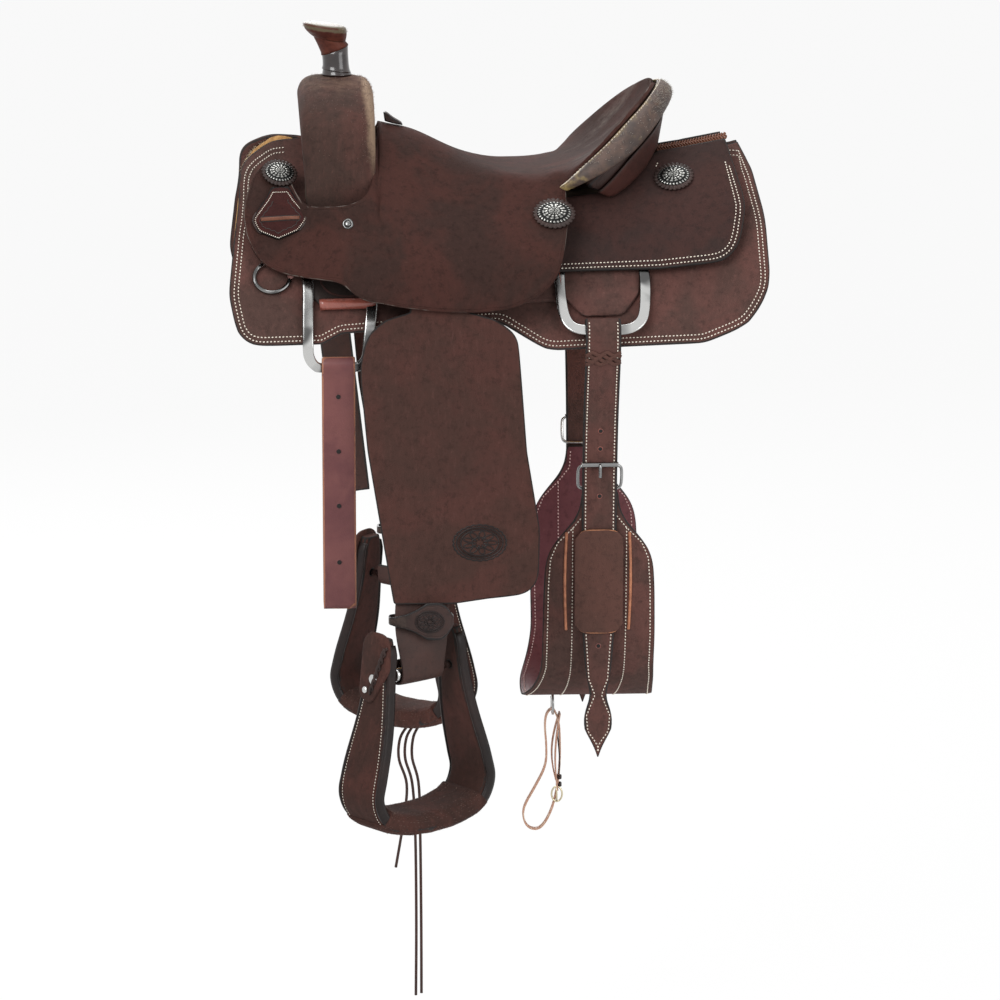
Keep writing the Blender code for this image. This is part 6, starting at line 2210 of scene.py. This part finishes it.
@dataclass
class Strings:
    """Leather strings that hang free from the off stirrup's tread."""

    radius: float = 0.0020
    count: int = 40
    routes: tuple[tuple[str, tuple[Knot, ...]], ...] = (
        ("string_long_front", (
            (-0.107, 0.2850, -0.7557), (-0.107, 0.2850, -0.762), (-0.118, 0.2850, -0.782), (-0.120, 0.2850, -0.812),
            (-0.110, 0.2850, -0.850), (-0.106, 0.2850, -0.923), (-0.105, 0.2850, -1.052), (-0.106, 0.2850, -1.164),
        )),
        ("string_long_rear", (
            (-0.099, 0.2850, -0.7557), (-0.099, 0.2850, -0.762), (-0.108, 0.2890, -0.782), (-0.110, 0.2890, -0.812),
            (-0.101, 0.2850, -0.850), (-0.099, 0.2850, -0.923), (-0.098, 0.2850, -1.052), (-0.098, 0.2850, -1.161),
        )),
        ("string_short", (
            (-0.115, 0.2850, -0.7557), (-0.115, 0.2850, -0.762), (-0.127, 0.2830, -0.782), (-0.129, 0.2830, -0.812),
            (-0.118, 0.2840, -0.850), (-0.122, 0.2850, -0.900), (-0.134, 0.2850, -0.973),
        )),
    )

    def build(self) -> None:
        """One string per route, hanging along it, with its real length logged."""
        for name, knots in self.routes:
            path = Outline.smooth(knots, self.count)
            length = sum((b - a).length for a, b in zip(path, path[1:]))
            piece = Bench.tube(f"{name}_leather", path, self.radius, STRAP, "stirrup_unit_off", 8)
            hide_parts(name)
            log.info("%s is %.3f m long", name, length)


@dataclass
class Studio:
    """Camera, lamps, floor and world of a plain pale studio."""

    target: Knot = (0.0, 0.0, -0.378)
    distance: float = 6.5
    down: float = math.radians(12.0)
    turned: float = math.radians(3.0)
    focal: float = 173.88
    floor_z: float = -1.30
    floor_half: float = 40.0

    def build(self) -> None:
        """The whole studio."""
        self.camera()
        self.lamps()
        self.floor()
        self.world()
        log.info("studio built")

    def camera(self) -> None:
        """Long lens from the near side, a little above."""
        forward = Vector((math.cos(self.down) * math.sin(self.turned), math.cos(self.down) * math.cos(self.turned),
                          -math.sin(self.down)))
        lens = bpy.data.cameras.new("camera")
        lens.lens = self.focal
        lens.sensor_width = 36.0
        lens.clip_end = 100.0
        eye = bpy.data.objects.new("camera", lens)
        eye.location = Vector(self.target) - forward * self.distance
        eye.rotation_euler = forward.to_track_quat("-Z", "Y").to_euler()
        bpy.context.scene.collection.objects.link(eye)
        bpy.context.scene.camera = eye

    @staticmethod
    def lamps() -> None:
        """Soft boxes: key from the front above, fill from the rear side, one over the off side."""
        for name, place, aim, size, power in (
            ("key", (-2.2, -3.4, 2.6), (0, 0, -0.25), 2.6, 150.0),
            ("fill", (3.2, -3.2, 0.9), (0, 0, -0.3), 2.6, 68.0),
            ("top", (0.2, 0.6, 3.4), (0, 0, 0), 2.4, 66.0),
            ("off", (-1.0, 4.0, 1.6), (0, 0, -0.2), 2.6, 90.0),
        ):
            lamp = bpy.data.lights.new(name, "AREA")
            lamp.shape = "SQUARE"
            lamp.size = size
            lamp.energy = power
            item = bpy.data.objects.new(name, lamp)
            item.location = place
            item.rotation_euler = (Vector(aim) - Vector(place)).to_track_quat("-Z", "Y").to_euler()
            bpy.context.scene.collection.objects.link(item)

    @staticmethod
    def seen(graph: Graph) -> Value:
        """1 for camera, mirror and glass rays, 0 for the light that falls on the saddle."""
        kinds = ("Camera", "Glossy", "Transmission")
        paths = [graph.node("ShaderNodeLightPath", {}, {}, f"Is {kind} Ray") for kind in kinds]
        return (paths[0] + paths[1] + paths[2]).step(0.0, 1.0)

    def floor(self) -> None:
        """Pale floor that keeps a faint shadow."""
        corners = [Vector((x, y, self.floor_z)) for x, y in slab(self.floor_half, self.floor_half)]
        mesh = Bench.mesh(corners, [(0, 1, 2, 3)])
        graph = Graph(bpy.data.materials.new("floor"))
        mesh.materials.append(graph.finish(Base_Color=(0.82, 0.82, 0.82), Roughness=0.9))
        glow = graph.node("ShaderNodeEmission", {}, {"Color": (1.0, 1.0, 1.0), "Strength": 1.0})
        matt = Value(graph, graph.shader.outputs[0])
        mixed = graph.node("ShaderNodeMixShader", {}, {0: self.seen(graph) * 0.9, 1: matt, 2: glow})
        graph.tree.links.new(mixed.socket, graph.output.inputs[0])
        floor = bpy.data.objects.new("floor", mesh)
        bpy.context.scene.collection.objects.link(floor)

    @staticmethod
    def world() -> None:
        """White to the camera, softly grey to everything else."""
        world = bpy.data.worlds.new("world")
        bpy.context.scene.world = world
        graph = Graph(world, "Background", "OutputWorld")
        graph.finish(Color=(1.0, 1.0, 1.0), Strength=Studio.seen(graph) * 0.5 + 0.5)


def main() -> None:
    """Builds the studio and the saddle, and reports each piece."""
    logging.basicConfig(level=logging.INFO, format="%(name)s: %(message)s")
    Studio().build()
    Strings().build()
    Tree().build()
    Horn().build()
    Swell().build()
    Seat().build()
    Skirts().build()
    Rigging().build()
    Trim().build()
    for side in Side:
        FenderSet(side).build()
    FrontStraps().build()
    FlankSet().build()
    Connector().build()
    bpy.context.scene.view_settings.view_transform = "Standard"
    bpy.context.view_layer.update()


if __name__ == "__main__":
    main()
